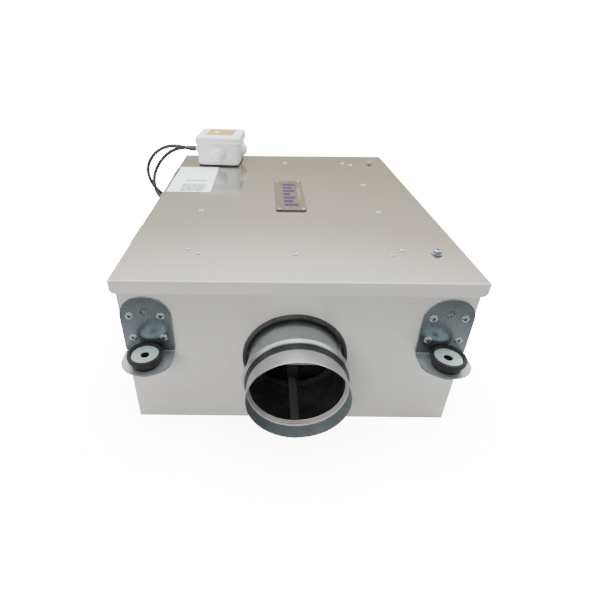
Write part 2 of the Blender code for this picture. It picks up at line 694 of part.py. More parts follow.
def build_lid():
    """The service lid, with its riveted pan of insulation and the two captive screws on its right edge."""
    low = (-LID_W / 2, -LID_L / 2, TOTAL_H - LID_SKIRT)
    high = (LID_W / 2, LID_L / 2, TOTAL_H)
    lid = open_box("lid", ZINC, low, high, (0, 0, -1), SHEET, 0.0015)
    drills = [((SCREW_X, y, TOTAL_H - 0.006), (SCREW_X, y, TOTAL_H + 0.006), 0.0036, 10) for y in SCREW_YS]
    drills += [
        ((x, y, TOTAL_H - 0.002), (x, y, TOTAL_H + 0.002), 0.0015, 6) for x, y in plate_rivet_points()
    ]
    combine(lid, solids("lid_drills", None, (), drills), "DIFFERENCE")
    round_skirt_corners(lid)
    heads = [((x, y, TOTAL_H), (0, 0, 1)) for x, y in LID_RIVETS]
    rivets = turned_cutters("lid_rivets", dome_rivet(0.0046, 0.0019, 0.0012, 0.0034), 6, heads)
    combine(lid, rivets, "UNION")

    shape = bmesh.new()
    size = Vector((PAN_HIGH[0] - PAN_LOW[0], PAN_HIGH[1] - PAN_LOW[1], 1.0))
    middle = Vector(((PAN_LOW[0] + PAN_HIGH[0]) / 2, (PAN_LOW[1] + PAN_HIGH[1]) / 2, TOTAL_H - SHEET - GAP))
    bmesh.ops.create_grid(shape, x_segments=1, y_segments=1, size=0.5, matrix=Matrix.Diagonal((*size, 1.0)))
    bmesh.ops.inset_region(shape, faces=shape.faces[:], thickness=PAN_FLANGE, use_boundary=True)
    well = min(shape.faces, key=lambda face: face.calc_center_median().length)
    pulled = bmesh.ops.extrude_discrete_faces(shape, faces=[well])["faces"][0]
    bmesh.ops.translate(shape, verts=pulled.verts, vec=(0, 0, SHEET - PAN_DEPTH))
    bmesh.ops.remove_doubles(shape, verts=shape.verts, dist=0.00001)
    mesh = bpy.data.meshes.new("lid_inner_pan")
    shape.to_mesh(mesh)
    shape.free()
    pan = add("lid_inner_pan", mesh, ZINC, middle)
    thicken(pan, SHEET)
    holes = [((x, y, TOTAL_H - 0.006), (x, y, TOTAL_H), 0.0026, 6) for x, y in LID_RIVETS]
    combine(pan, solids("pan_drills", None, (), holes), "DIFFERENCE")

    inset = PAN_FLANGE + SHEET + 0.0005
    slab_low = (PAN_LOW[0] + inset, PAN_LOW[1] + inset, PAN_BOTTOM + SHEET + GAP)
    slab_high = (PAN_HIGH[0] - inset, PAN_HIGH[1] - inset, TOTAL_H - SHEET - GAP)
    solids("lid_insulation", FOAM, [(slab_low, slab_high)])

    screw = [
        (0, 0.0062), (0.0034, 0.0060), (0.0056, 0.0046), (0.0060, 0.0016), (0.0078, 0.0016), (0.0078, 0),
        (SCREW_R, 0), (SCREW_R, -0.0240), (0.0022, -0.0255), (0, -0.0255),
    ]
    for word, y in zip(("front", "rear"), SCREW_YS):
        turned(f"lid_screw_{word}", STEEL, screw, 12, (SCREW_X, y, TOTAL_H + GAP), (0, 0, 1))


def round_skirt_corners(lid):
    """Rounds the lower corners of the lid's four skirts where they meet."""
    bottom = TOTAL_H - LID_SKIRT
    out = 0.001
    for plane, half_span, half_offset in (("XZ", LID_W / 2, LID_L / 2), ("YZ", LID_L / 2, LID_W / 2)):
        waste = [(half_span + out, SKIRT_CORNER), (half_span + out, -out), (half_span - SKIRT_CORNER, -out)]
        waste += arc(half_span - SKIRT_CORNER, SKIRT_CORNER, SKIRT_CORNER, 270, 360, 5)
        mirrored = [(-x, z) for x, z in reversed(waste)]
        for hand in (-1, 1):
            offset = hand * (half_offset - SHEET / 2)
            centre = (0, offset, bottom) if plane == "XZ" else (offset, 0, bottom)
            name = f"skirt_waste_{plane}_{hand}"
            cutter = as_mesh(outline(name, None, [waste, mirrored], 0.0025, plane, centre))
            combine(lid, cutter, "DIFFERENCE")


def build_gasket():
    seal = [rectangle(0.4400, 0.5520), rectangle(0.4200, 0.5320)]
    thickness = 0.0038
    outline("lid_gasket", FOAM, seal, thickness, "XY", (0, 0, BODY_TOP + GAP + thickness / 2))


def hinge_point(y):
    return (HINGE_X, y, HINGE_Z)


def build_hinge(word, y):
    """A butt hinge on the left edge: one leaf on the wall, one on the lid's skirt, and a loose pin."""
    third = HINGE_L / 3
    wall_x = -BODY_W / 2 - GAP
    skirt_x = -LID_W / 2 - GAP
    near, far = y - HINGE_L / 2, y + HINGE_L / 2
    arms, knuckles = [], []
    for start in (near, far - third):
        low, high = start + GAP, start + third - GAP
        arms.append(((HINGE_X, low, 0.2120), (wall_x - LEAF / 2, high, 0.2133)))
        knuckles.append((hinge_point(low), hinge_point(high), KNUCKLE_R, 12))
    bore = (hinge_point(near - 0.01), hinge_point(far + 0.01), PIN_R + GAP, 10)
    drill = solids(f"hinge_bore_{word}", None, (), [bore])
    leaf = ((wall_x - LEAF, near, 0.188), (wall_x, far, 0.2137))
    fixed = solids(f"hinge_leaf_casing_{word}", STEEL, [leaf])
    combine(fixed, solids(f"casing_arms_{word}", None, arms), "UNION")
    combine(fixed, solids(f"casing_knuckles_{word}", None, (), knuckles), "UNION")
    combine(fixed, drill, "DIFFERENCE")
    low, high = near + third + GAP, far - third - GAP
    leaf = ((skirt_x - LEAF, near, 0.2187), (skirt_x, far, 0.2362))
    moving = solids(f"hinge_leaf_lid_{word}", STEEL, [leaf], origin=hinge_point(y))
    tab = ((skirt_x - LEAF, low, HINGE_Z), (skirt_x - 0.0001, high, 0.2192))
    combine(moving, solids(f"lid_tab_{word}", None, [tab]), "UNION")
    knuckle = (hinge_point(low), hinge_point(high), KNUCKLE_R, 12)
    combine(moving, solids(f"lid_knuckle_{word}", None, (), [knuckle]), "UNION")
    combine(moving, drill, "DIFFERENCE")
    pin = (hinge_point(near - 0.001), hinge_point(far + 0.001), PIN_R, 10)
    solids(f"hinge_pin_{word}", STEEL, (), [pin])


def plate_rivet_points():
    cx, cy = PLATE_CENTRE
    dx, dy = PLATE_SIZE[0] / 2 - 0.006, PLATE_SIZE[1] / 2 - 0.006
    return [(cx + sx * dx, cy + sy * dy) for sx in (-1, 1) for sy in (-1, 1)]


def build_name_plate():
    """The raised name plate, left plain, on four small rivets."""
    top = TOTAL_H + GAP
    cx, cy = PLATE_CENTRE
    edge = rectangle(*PLATE_SIZE, 0.005)
    plate = as_mesh(outline("name_plate", STEEL, [edge], PLATE_T, "XY", (cx, cy, top + PLATE_T / 2)))
    heads = [((x, y, top + PLATE_T), (0, 0, 1)) for x, y in plate_rivet_points()]
    rivets = turned_cutters("name_plate_rivets", dome_rivet(0.0022, 0.0010, 0.0010, 0.0030), 6, heads)
    combine(plate, rivets, "UNION")


def build_junction_box():
    """A tapered box with a push-on cover and a stepped cone entry moulded on each side."""
    low = (BOX_X - BOX_RIM_W / 2, BOX_Y - BOX_RIM_W / 2, BOX_BASE_Z)
    high = (BOX_X + BOX_RIM_W / 2, BOX_Y + BOX_RIM_W / 2, BOX_RIM_Z)
    base = open_box("junction_base", PLASTIC, low, high, (0, 0, 1), BOX_WALL, 0.005)
    taper = BOX_BOTTOM_W / BOX_RIM_W
    for vert in base.data.vertices:
        part_way = (vert.co.z + (high[2] - low[2]) / 2) / (high[2] - low[2])
        narrow = taper + (1 - taper) * part_way
        vert.co.x *= narrow
        vert.co.y *= narrow
    turn = Matrix.Rotation(BOX_TURN, 4, "Z")
    sides = [turn @ Vector(side) for side in ((0, -1, 0), (1, 0, 0), (0, 1, 0), (-1, 0, 0))]
    centre = Vector((BOX_X, BOX_Y, ENTRY_Z - 0.0015))
    entry = [
        (0, ENTRY_LENGTH), (0.0085, ENTRY_LENGTH), (0.0110, 0.0070), (0.0165, 0.0030), (ENTRY_R, 0.0010),
        (ENTRY_R, -0.0020), (0, -0.0020),
    ]
    places = [(centre + side * ENTRY_FACE, side) for side in sides]
    combine(base, turned_cutters("junction_entries", entry, 16, places), "UNION")
    cover_low = (BOX_X - COVER_W / 2, BOX_Y - COVER_W / 2, BOX_TOP_Z - COVER_H)
    cover_high = (BOX_X + COVER_W / 2, BOX_Y + COVER_W / 2, BOX_TOP_Z)
    cover = open_box("junction_cover", PLASTIC, cover_low, cover_high, (0, 0, -1), BOX_WALL, 0.005)
    pad = 0.0017
    gasket = outline(
        "junction_gasket", RUBBER, [rectangle(0.088, 0.088, 0.006)], pad, "XY",
        (BOX_X, BOX_Y, TOTAL_H + GAP + pad / 2),
    )
    strip = build_terminals(BOX_BASE_Z + BOX_WALL + GAP)
    for piece in (base, cover, gasket, strip):
        upright = piece.rotation_euler.to_matrix().to_4x4()
        piece.matrix_basis = Matrix.Translation(piece.location) @ turn @ upright


def build_terminals(floor):
    """A strip of six screw terminals on the box's floor, a notch between each two."""
    pitch = 0.0085
    ways = 6
    body = [(-ways * pitch / 2, 0), (ways * pitch / 2, 0)]
    for way in reversed(range(ways)):
        middle = (way - (ways - 1) / 2) * pitch
        left, right = middle - 0.0034, middle + 0.0034
        body += [(right, 0.007), (right, 0.013), (left, 0.013), (left, 0.007)]
    return outline("terminal_block", PLASTIC, [body], 0.018, "XZ", (BOX_X, BOX_Y, floor))


def smooth_route(points, spacing):
    """Points about one spacing apart on the smooth curve through the route's own points."""
    route = [Vector(point) for point in points]
    route = [2 * route[0] - route[1], *route, 2 * route[-1] - route[-2]]
    fine = []
    for before, start, end, after in zip(route, route[1:], route[2:], route[3:]):
        for step in range(12):
            t = step / 12
            fine.append(0.5 * (
                2 * start + (end - before) * t + (2 * before - 5 * start + 4 * end - after) * t ** 2
                + (3 * start - before - 3 * end + after) * t ** 3
            ))
    fine.append(route[-2])
    length = sum((b - a).length for a, b in zip(fine, fine[1:]))
    count = max(2, round(length / spacing))
    kept = [fine[0]]
    travelled = 0.0
    for start, end in zip(fine, fine[1:]):
        travelled += (end - start).length
        if travelled >= length * len(kept) / count - 1e-9 and len(kept) < count:
            kept.append(end)
    return [*kept, fine[-1]]


def build_cables():
    """Two round cables from the box's left entry to their glands in the casing's left wall."""
    for name, route in (("cable_a", CABLE_A_ROUTE), ("cable_b", CABLE_B_ROUTE)):
        curve = bpy.data.curves.new(name, "CURVE")
        curve.dimensions = "3D"
        curve.bevel_depth = CABLE_R
        curve.bevel_resolution = 2
        curve.use_fill_caps = True
        path = smooth_route(route, 5 * CABLE_R)
        origin = path[0]
        spline = curve.splines.new("POLY")
        spline.points.add(len(path) - 1)
        for point, place in zip(spline.points, path):
            point.co = (*(place - origin), 1.0)
        add(name, curve, RUBBER, origin)
    gland = [
        (0, GLAND_LENGTH), (0.0052, GLAND_LENGTH), (0.0072, GLAND_LENGTH - 0.003), (0.0078, 0.0065),
        (0.0095, 0.0060), (0.0095, 0), (0.0074, 0), (0.0074, -0.0030), (0, -0.0030),
    ]
    for letter, y in zip("ab", GLAND_YS):
        turned(f"cable_gland_{letter}", BLACK_PLASTIC, gland, 12, (GLAND_X, y, GLAND_Z), (-1, 0, 0))


clear_scene()
UNIT = collection("heat_recovery_unit")
CUTTERS = collection("cutters")
build_casing()
build_hangers()
build_linings()
build_bulkheads()
build_filters()
build_core()
build_fan()
build_lid()
build_gasket()
build_hinge("front", HINGE_YS[0])
build_hinge("rear", HINGE_YS[1])
build_name_plate()
build_junction_box()
build_cables()
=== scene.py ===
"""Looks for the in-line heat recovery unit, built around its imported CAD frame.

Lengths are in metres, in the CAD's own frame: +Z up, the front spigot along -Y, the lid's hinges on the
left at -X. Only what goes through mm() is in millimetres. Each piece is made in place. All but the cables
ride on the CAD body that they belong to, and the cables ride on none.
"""

import random
from math import atan2, copysign, cos, dist, pi, radians, sin, tau

import bmesh
import bpy
from mathutils import Matrix, Vector


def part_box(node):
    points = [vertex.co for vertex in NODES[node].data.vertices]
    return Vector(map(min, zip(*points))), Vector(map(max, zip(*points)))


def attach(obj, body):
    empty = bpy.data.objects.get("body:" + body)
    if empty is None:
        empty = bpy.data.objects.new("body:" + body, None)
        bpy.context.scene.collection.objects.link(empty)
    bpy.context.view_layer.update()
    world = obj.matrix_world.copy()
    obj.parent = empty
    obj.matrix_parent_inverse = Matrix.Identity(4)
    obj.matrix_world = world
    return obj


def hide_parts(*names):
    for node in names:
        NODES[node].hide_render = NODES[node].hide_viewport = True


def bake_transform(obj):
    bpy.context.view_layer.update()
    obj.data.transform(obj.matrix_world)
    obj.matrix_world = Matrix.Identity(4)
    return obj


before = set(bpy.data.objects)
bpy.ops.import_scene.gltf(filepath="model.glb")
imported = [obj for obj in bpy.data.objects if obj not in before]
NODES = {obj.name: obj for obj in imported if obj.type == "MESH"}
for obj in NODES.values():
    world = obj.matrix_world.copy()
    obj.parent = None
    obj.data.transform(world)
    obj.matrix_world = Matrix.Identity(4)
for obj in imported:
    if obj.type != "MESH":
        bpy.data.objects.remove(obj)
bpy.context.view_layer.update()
SCENE = bpy.context.scene

SIDES = ("front", "rear")
SIGN = {"front": -1, "rear": 1, "left": -1, "right": 1}
UP = (0, 0, 1)
QUAD = ((-1, -1), (1, -1), (1, 1), (-1, 1))


def mm(value):
    """Millimetres as metres, for a number or a table of them."""
    return [mm(part) for part in value] if isinstance(value, (list, tuple)) else value / 1000


def at(x, y, z):
    return Matrix.Translation((x, y, z))


def new_object(name, data):
    made = bpy.data.objects.new(name, data)
    SCENE.collection.objects.link(made)
    return made


class Graph:
    """A node tree being built, with short ways to add, fill and join its nodes."""

    def __init__(self, tree, fresh=False):
        self.tree = tree
        if fresh:
            tree.nodes.clear()

    def add(self, kind, values=(), **settings):
        made = self.tree.nodes.new(f"ShaderNode{kind}")
        for word, value in settings.items():
            setattr(made, word, value)
        for word, value in dict(values).items():
            self.feed(made.inputs[word], value)
        return made

    def feed(self, socket, value):
        """Links another node's output to a socket, or sets the socket's own value."""
        if isinstance(value, bpy.types.NodeSocket):
            self.tree.links.new(value, socket)
        elif socket.type == "RGBA":
            socket.default_value = (*value, 1)
        else:
            socket.default_value = value

    def ranged(self, source, low, high, to_low, to_high, **settings):
        return self.add("MapRange", {
            "Value": source, "From Min": low, "From Max": high, "To Min": to_low, "To Max": to_high,
        }, **settings).outputs[0]

    def ramp(self, source, stops, interpolation="LINEAR"):
        made = self.add("ValToRGB", {0: source})
        made.color_ramp.interpolation = interpolation
        spots = made.color_ramp.elements
        while len(spots) < len(stops):
            spots.new(0.5)
        for spot, (position, colour) in zip(spots, stops):
            spot.position = position
            spot.color = (*colour, 1)
        return made.outputs["Color"]

    def mix(self, share, first, second, blend="MIX"):
        made = self.add("Mix", {"Factor": share}, data_type="RGBA", blend_type=blend)
        sockets = {socket.name: socket for socket in made.inputs if socket.type == "RGBA"}
        self.feed(sockets["A"], first)
        self.feed(sockets["B"], second)
        return next(socket for socket in made.outputs if socket.type == "RGBA")

    def end(self, kind, lit, seen):
        """Ends the tree in one shader for the light that surfaces get, another for the camera's own rays."""
        rays = self.add("LightPath").outputs["Is Camera Ray"]
        choice = self.add("MixShader", {0: rays, 1: lit.outputs[0], 2: seen.outputs[0]})
        self.add(kind, {"Surface": choice.outputs[0]})


# ---------------- camera and light


CAMERA_AT = (-0.0418, -0.7009, 0.4970)
AZIMUTH, ELEVATION, ROLL = radians(0.07), radians(30.28), radians(0.5)
LENS, SHIFT = 24.706, (0.0603, -0.0496)

WHITE = 16.5  # what the camera sees behind and beneath the unit
SURROUND = 3.6  # the strength of what the surfaces reflect
# The surround's colours at rising shares of the way from level to straight up.
BACK_SKY = (
    (0.0, (0.13, 0.11, 0.09)), (0.24, (0.235, 0.202, 0.148)), (0.38, (0.380, 0.342, 0.285)),
    (0.54, (0.93, 0.90, 0.85)), (0.74, (0.88, 0.88, 0.87)), (0.86, (0.68, 0.68, 0.67)),
    (0.94, (0.78, 0.78, 0.78)), (1.0, (1.60, 1.60, 1.60)),
)
FRONT_SKY = (
    (0.0, (0.035, 0.035, 0.035)), (0.14, (0.21, 0.21, 0.205)), (0.50, (0.21, 0.21, 0.205)),
    (0.72, (0.030, 0.030, 0.031)), (0.93, (0.028, 0.028, 0.030)), (1.0, (0.30, 0.30, 0.30)),
)
FRONT_Y, BACK_Y = -0.35, 0.35  # where the front sky ends and the back sky begins, as shares of the way
FLOOR_REACH, FLOOR_LEVEL = 40, -0.0006
CONTACT_REACH, CONTACT_SHADE = 0.12, 0.35
# What the floor gives back to the metal, as (y, grey): dim well in front of the unit, lighter close to it.
FLOOR_DIM, FLOOR_LIT = (-0.62, 0.05), (-0.34, 0.34)


def make_camera():
    ahead = Vector((-sin(AZIMUTH) * cos(ELEVATION), cos(AZIMUTH) * cos(ELEVATION), -sin(ELEVATION)))
    level = Vector((cos(AZIMUTH), sin(AZIMUTH), 0))
    up = level.cross(ahead)
    right, up = cos(ROLL) * level + sin(ROLL) * up, cos(ROLL) * up - sin(ROLL) * level
    data = bpy.data.cameras.new("camera")
    data.lens = LENS
    data.sensor_width = 36
    data.shift_x, data.shift_y = SHIFT
    data.clip_start = 0.01
    camera = new_object("camera", data)
    camera.matrix_world = at(*CAMERA_AT) @ Matrix((right, up, -ahead)).transposed().to_4x4()
    SCENE.camera = camera


def make_world():
    """White behind the unit for the camera; for the surfaces, bright above and behind and dim in front."""
    world = bpy.data.worlds.new("studio")
    world.use_nodes = True
    SCENE.world = world
    graph = Graph(world.node_tree, fresh=True)
    way = graph.add("SeparateXYZ", {0: graph.add("TexCoord").outputs["Generated"]}).outputs
    share = graph.ranged(way["Y"], FRONT_Y, BACK_Y, 0, 1)
    side = graph.ramp(share, ((0.0, (0, 0, 0)), (1.0, (1, 1, 1))), "EASE")
    sky = graph.mix(side, graph.ramp(way["Z"], FRONT_SKY, "EASE"), graph.ramp(way["Z"], BACK_SKY, "EASE"))
    lit = graph.add("Background", {"Color": sky, "Strength": SURROUND})
    seen = graph.add("Background", {"Color": (1, 1, 1), "Strength": WHITE})
    graph.end("OutputWorld", lit, seen)


def make_floor():
    """A white floor whose glow for the camera dims close to the unit, a painted contact shadow; what it gives
    back to the metal is dimmer.
    """
    mesh = bpy.data.meshes.new("floor")
    mesh.from_pydata([(x * FLOOR_REACH, y * FLOOR_REACH, FLOOR_LEVEL) for x, y in QUAD], [], [(0, 1, 2, 3)])
    material = bpy.data.materials.new("floor")
    material.use_nodes = True
    mesh.materials.append(material)
    graph = Graph(material.node_tree, fresh=True)
    # Ambient occlusion dims the camera's glow near the unit. This is a painted contact shadow.
    shade = graph.add("AmbientOcclusion", {"Distance": CONTACT_REACH}, samples=8).outputs["AO"]
    glow = graph.add("Emission", {"Strength": graph.ranged(shade, 0, 1, WHITE * CONTACT_SHADE, WHITE)})
    along = graph.add("SeparateXYZ", {0: graph.add("NewGeometry").outputs["Position"]}).outputs["Y"]
    (start, dim), (end, light) = FLOOR_DIM, FLOOR_LIT
    given = graph.ranged(along, start, end, dim, light, interpolation_type="SMOOTHSTEP")
    graph.end("OutputMaterial", graph.add("BsdfDiffuse", {"Color": given}), glow)
    new_object("floor", mesh)


def make_light(name, place, target, size, power, colour):
    data = bpy.data.lights.new(name, "AREA")
    data.shape = "RECTANGLE"
    data.size, data.size_y = size
    data.energy = power
    data.color = colour
    light = new_object(name, data)
    light.location = place
    light.rotation_euler = (Vector(target) - Vector(place)).to_track_quat("-Z", "Y").to_euler()
    light.visible_glossy = False
    light.visible_camera = False


make_camera()
make_world()
make_floor()
make_light("key", (-0.8, -2.4, 1.35), (0, 0, 0.12), (1.7, 0.9), 74, (1.0, 0.985, 0.96))
make_light("top", (0.0, 0.5, 2.6), (0, 0.5, 0), (3.0, 1.7), 135, (1.0, 0.995, 0.98))


# ---------------- finishes


class Finish(Graph):
    """A procedural material whose textures run in the unit's own frame, in metres."""

    def __init__(self, name, colour, roughness, metallic=0.0, **sockets):
        self.material = bpy.data.materials.new(name)
        self.material.use_nodes = True
        super().__init__(self.material.node_tree)
        self.shader = self.tree.nodes["Principled BSDF"]
        self.base, self.roughness = colour, roughness
        values = {"Base Color": colour, "Roughness": roughness, "Metallic": metallic}
        for word, value in {**values, **sockets}.items():
            self.feed(self.shader.inputs[word.replace("_", " ")], value)
        self.place = self.add("TexCoord").outputs["Object"]
        self.height = None

    def stretched(self, stretch):
        if stretch == (1, 1, 1):
            return self.place
        return self.add("Mapping", {"Scale": stretch, "Vector": self.place}).outputs["Vector"]

    def noise(self, scale, detail=3.0, stretch=(1, 1, 1), rough=0.5):
        values = {"Scale": scale, "Detail": detail, "Roughness": rough, "Vector": self.stretched(stretch)}
        return self.add("TexNoise", values).outputs["Fac"]

    def cells(self, scale, output="Distance", stretch=(1, 1, 1)):
        return self.add("TexVoronoi", {"Scale": scale, "Vector": self.stretched(stretch)}).outputs[output]

    def toned(self, source, *stops):
        """The base colour times each stop's share, from (position, share) pairs."""
        return self.ramp(source, [(spot, tuple(part * share for part in self.base)) for spot, share in stops])

    def bump(self, source, strength, distance):
        made = self.add("Bump", {"Strength": strength, "Distance": distance, "Height": source})
        if self.height:
            self.feed(made.inputs["Normal"], self.height)
        self.height = made.outputs["Normal"]
        self.feed(self.shader.inputs["Normal"], self.height)

    def colour(self, source):
        self.feed(self.shader.inputs["Base Color"], source)

    def rough(self, source, less, more, low=0.3, high=0.7):
        """Makes the roughness swing from less below the material's own to more above it."""
        swing = self.ranged(source, low, high, self.roughness - less, self.roughness + more)
        self.feed(self.shader.inputs["Roughness"], swing)


def zinc_sheet(name, warm, cool, roughness, metallic, spangle, grain):
    """Galvanised sheet: soft warm and cool patches, faint crystals, a rolled grain and a slight wave."""
    made = Finish(name, warm, roughness, metallic)
    patches = made.ramp(made.noise(5.0, 2.0, (1, 0.8, 1.2)), ((0.38, warm), (0.62, cool)))
    crystals = made.add("SeparateColor", {0: made.cells(95, "Color", (1, 1.4, 1))}).outputs[0]
    crystal_tone = made.ramp(crystals, ((0.0, (1 - spangle,) * 3), (1.0, (1 + spangle,) * 3)))
    streaks = made.noise(9, 1.0, tuple(max(share, 0.2) for share in grain))
    streak_tone = made.ramp(streaks, ((0.3, (0.985,) * 3), (0.7, (1.0,) * 3)))
    made.colour(made.mix(1.0, made.mix(1.0, patches, crystal_tone, "MULTIPLY"), streak_tone, "MULTIPLY"))
    made.rough(streaks, 0.01, 0.02, 0.25, 0.75)
    made.bump(made.noise(3.2, 1.0), 0.25, 0.0022)
    made.bump(made.noise(260, 3.0, grain), 0.03, 0.0001)
    return made.material


def bright_zinc(name, roughness, stretch, colour, metallic):
    """Blue-passivated plating: glossy, faintly clouded, with fine drawn lines."""
    made = Finish(name, colour, roughness, metallic)
    clouds = made.toned(made.noise(38, 4.0), (0.3, 0.86), (0.5, 1.0), (0.72, 1.12))
    tint = (colour[0], colour[1] * 0.86, colour[2] * 0.96)
    made.colour(made.mix(made.ranged(made.noise(17, 2.0), 0.45, 0.7, 0.0, 0.35), clouds, tint))
    lines = made.noise(55, 3.0, stretch)
    made.rough(lines, 0.02, 0.04)
    made.bump(lines, 0.03, 0.0002)
    made.bump(made.noise(22, 2.0), 0.10, 0.0008)
    return made.material


def rubber(name, colour, roughness):
    """Rubber or soft sheath: dusty patches over a fine matt grain."""
    made = Finish(name, colour, roughness)
    made.colour(made.toned(made.noise(55, 5.0), (0.35, 0.75), (0.75, 1.9)))
    made.rough(made.noise(120, 4.0), 0.08, 0.12)
    made.bump(made.noise(900, 3.0), 0.25, 0.0002)
    return made.material


def foam(name, colour):
    """Open-cell acoustic foam: pores between rounded struts."""
    made = Finish(name, colour, 0.95)
    # The colour darkens towards each cell's middle, where the bump sinks. This is painted shade in the pores.
    pores = made.cells(420)
    made.colour(made.toned(pores, (0.1, 0.3), (0.6, 1.8)))
    made.bump(pores, 0.7, 0.0009)
    made.bump(made.noise(30, 3.0), 0.3, 0.002)
    return made.material


def moulded(name, colour, roughness, texture):
    """Moulded plastic or paint with a fine spark-eroded texture and a little dirt in patches."""
    made = Finish(name, colour, roughness, IOR=1.49)
    made.colour(made.toned(made.noise(26, 4.0), (0.3, 0.955), (0.62, 1.0)))
    made.rough(made.noise(70, 3.0), 0.05, 0.07)
    made.bump(made.noise(1400, 2.0), texture, 0.00012)
    return made.material


def printed(name, colour, roughness, second=None):
    """Paper, card, film or ink: a fibre grain with faint unevenness, and at will a second ink in patches."""
    made = Finish(name, colour, roughness)
    fibres = made.noise(240, 4.0, (1, 0.35, 1))
    base = made.toned(fibres, (0.3, 0.93), (0.65, 1.0))
    if second:
        base = made.mix(made.ranged(made.noise(42, 2.0), 0.42, 0.62, 0.0, 1.0), base, second)
    made.colour(base)
    made.rough(made.noise(90, 2.0), 0.06, 0.06)
    made.bump(fibres, 0.12, 0.0001)
    return made.material


def brushed(name, colour, roughness, stretch, line_strength=0.22, metallic=1.0):
    """Brushed or turned metal with straight fine lines."""
    made = Finish(name, colour, roughness, metallic)
    lines = made.noise(90, 5.0, stretch, 0.65)
    made.colour(made.toned(lines, (0.3, 0.84), (0.7, 1.08)))
    made.rough(lines, 0.05, 0.10)
    made.bump(lines, line_strength, 0.0002)
    return made.material


def plain(name, colour, roughness, metallic):
    return Finish(name, colour, roughness, metallic).material


def fleece(name, colour):
    """Filter web: short fibres with a soft sheen."""
    made = Finish(name, colour, 0.9, Sheen_Weight=0.3, Sheen_Roughness=0.6)
    fibres = made.noise(700, 6.0, (1, 1, 0.3), 0.7)
    made.colour(made.toned(fibres, (0.35, 0.86), (0.65, 1.0)))
    made.bump(fibres, 0.6, 0.0006)
    return made.material


def ceramic(name, colour):
    made = Finish(name, colour, 0.78)
    patches = made.toned(made.noise(18, 4.0), (0.3, 0.88), (0.7, 1.05))
    made.colour(made.mix(0.35, patches, made.toned(made.cells(800), (0.05, 0.88), (0.5, 1.05))))
    made.bump(made.noise(600, 4.0), 0.3, 0.0004)
    return made.material


FINISHES = {
    # casing, skirt and lid are lit and shaded copies of one galvanised sheet: the lid's top is darker and
    # near mirror, its skirt and folds lightest, the casing walls in between. The differences are painted
    # light and shade.
    "casing": (zinc_sheet, (0.715, 0.690, 0.665), (0.690, 0.690, 0.660), 0.28, 0.42, 0.012, (1, 1, 0.06)),
    "skirt": (zinc_sheet, (0.800, 0.775, 0.750), (0.780, 0.780, 0.750), 0.28, 0.36, 0.012, (0.06, 1, 1)),
    "lid": (zinc_sheet, (0.420, 0.402, 0.375), (0.400, 0.410, 0.380), 0.11, 0.92, 0.012, (1, 0.06, 1)),
    "inner": (zinc_sheet, (0.62, 0.62, 0.61), (0.55, 0.57, 0.58), 0.30, 0.75, 0.05, (1, 0.08, 1)),
    # bracket and tongue are one bright zinc in a shaded and a lit copy. Faces that look up (the tongue and
    # the plate's top edge) get the lighter, duller copy as painted light.
    "bracket": (bright_zinc, 0.25, (1, 1, 0.08), (0.29, 0.33, 0.36), 0.93),
    "tongue": (bright_zinc, 0.36, (1, 0.08, 1), (0.36, 0.42, 0.425), 0.68),
    "spigot": (bright_zinc, 0.27, (1, 0.08, 1), (0.43, 0.475, 0.48), 0.94),
    # The bead's front flank is coloured near black. This is painted shade on the forward-facing flank.
    "groove": (bright_zinc, 0.34, (1, 0.5, 1), (0.040, 0.043, 0.043), 0.80),
    # sleeve is a darker teal copy of the spigot's zinc on the rear run near the wall. This is painted shade
    # and reflection.
    "sleeve": (bright_zinc, 0.27, (1, 0.08, 1), (0.29, 0.335, 0.345), 0.94),
    "bore": (bright_zinc, 0.34, (1, 0.08, 1), (0.37, 0.44, 0.475), 0.66),
    # rim is a warm, mostly diffuse and lighter copy of the zinc for the swaged ring inside the mouth. This is
    # painted light.
    "rim": (bright_zinc, 0.36, (1, 0.5, 1), (0.50, 0.47, 0.455), 0.35),
    # dark colours the sleeve's inside beyond the swaged ring and the flange's back black. This is painted
    # shade inside the duct.
    "dark": (rubber, (0.010, 0.010, 0.010), 0.75),
    "rail": (moulded, (0.046, 0.050, 0.049), 0.60, 0.10),
    "disc": (brushed, (0.56, 0.70, 0.70), 0.30, (0.15, 1, 1), 0.10, 0.60),
    "rivet": (brushed, (0.76, 0.77, 0.78), 0.20, (1, 1, 1), 0.08),
    # rivet_core: the mandrel stub is real, but its near-black colour paints the shade in the rivet's hollow.
    "rivet_core": (plain, (0.05, 0.055, 0.06), 0.5, 1.0),
    "screw": (brushed, (0.52, 0.58, 0.68), 0.20, (1, 1, 0.2), 0.10),
    "hinge": (brushed, (0.66, 0.67, 0.68), 0.26, (1, 0.08, 1)),
    "plate": (brushed, (0.200, 0.188, 0.160), 0.26, (1, 0.04, 1), 0.12),
    "rubber": (rubber, (0.0060, 0.0066, 0.0070), 0.50),
    "seal": (rubber, (0.029, 0.030, 0.030), 0.60),
    "foam": (foam, (0.014, 0.014, 0.015)),
    "box": (moulded, (0.80, 0.835, 0.82), 0.34, 0.10),
    "black": (moulded, (0.022, 0.022, 0.023), 0.38, 0.25),
    "terminal": (moulded, (0.62, 0.64, 0.63), 0.42, 0.10),
    "card": (printed, (0.74, 0.70, 0.62), 0.75),
    "label": (printed, (0.85, 0.91, 0.93), 0.40),
    "ink": (printed, (0.10, 0.115, 0.13), 0.60),
    "gold": (printed, (0.43, 0.27, 0.045), 0.50, (0.37, 0.26, 0.06)),
    "gold_edge": (printed, (0.52, 0.15, 0.03), 0.50),
    "violet": (printed, (0.020, 0.004, 0.062), 0.60),
    "grey_ink": (printed, (0.16, 0.15, 0.15), 0.42),
    "web": (fleece, (0.80, 0.81, 0.79)),
    "ceramic": (ceramic, (0.66, 0.56, 0.44)),
    "cable": (rubber, (0.032, 0.032, 0.034), 0.45),
}
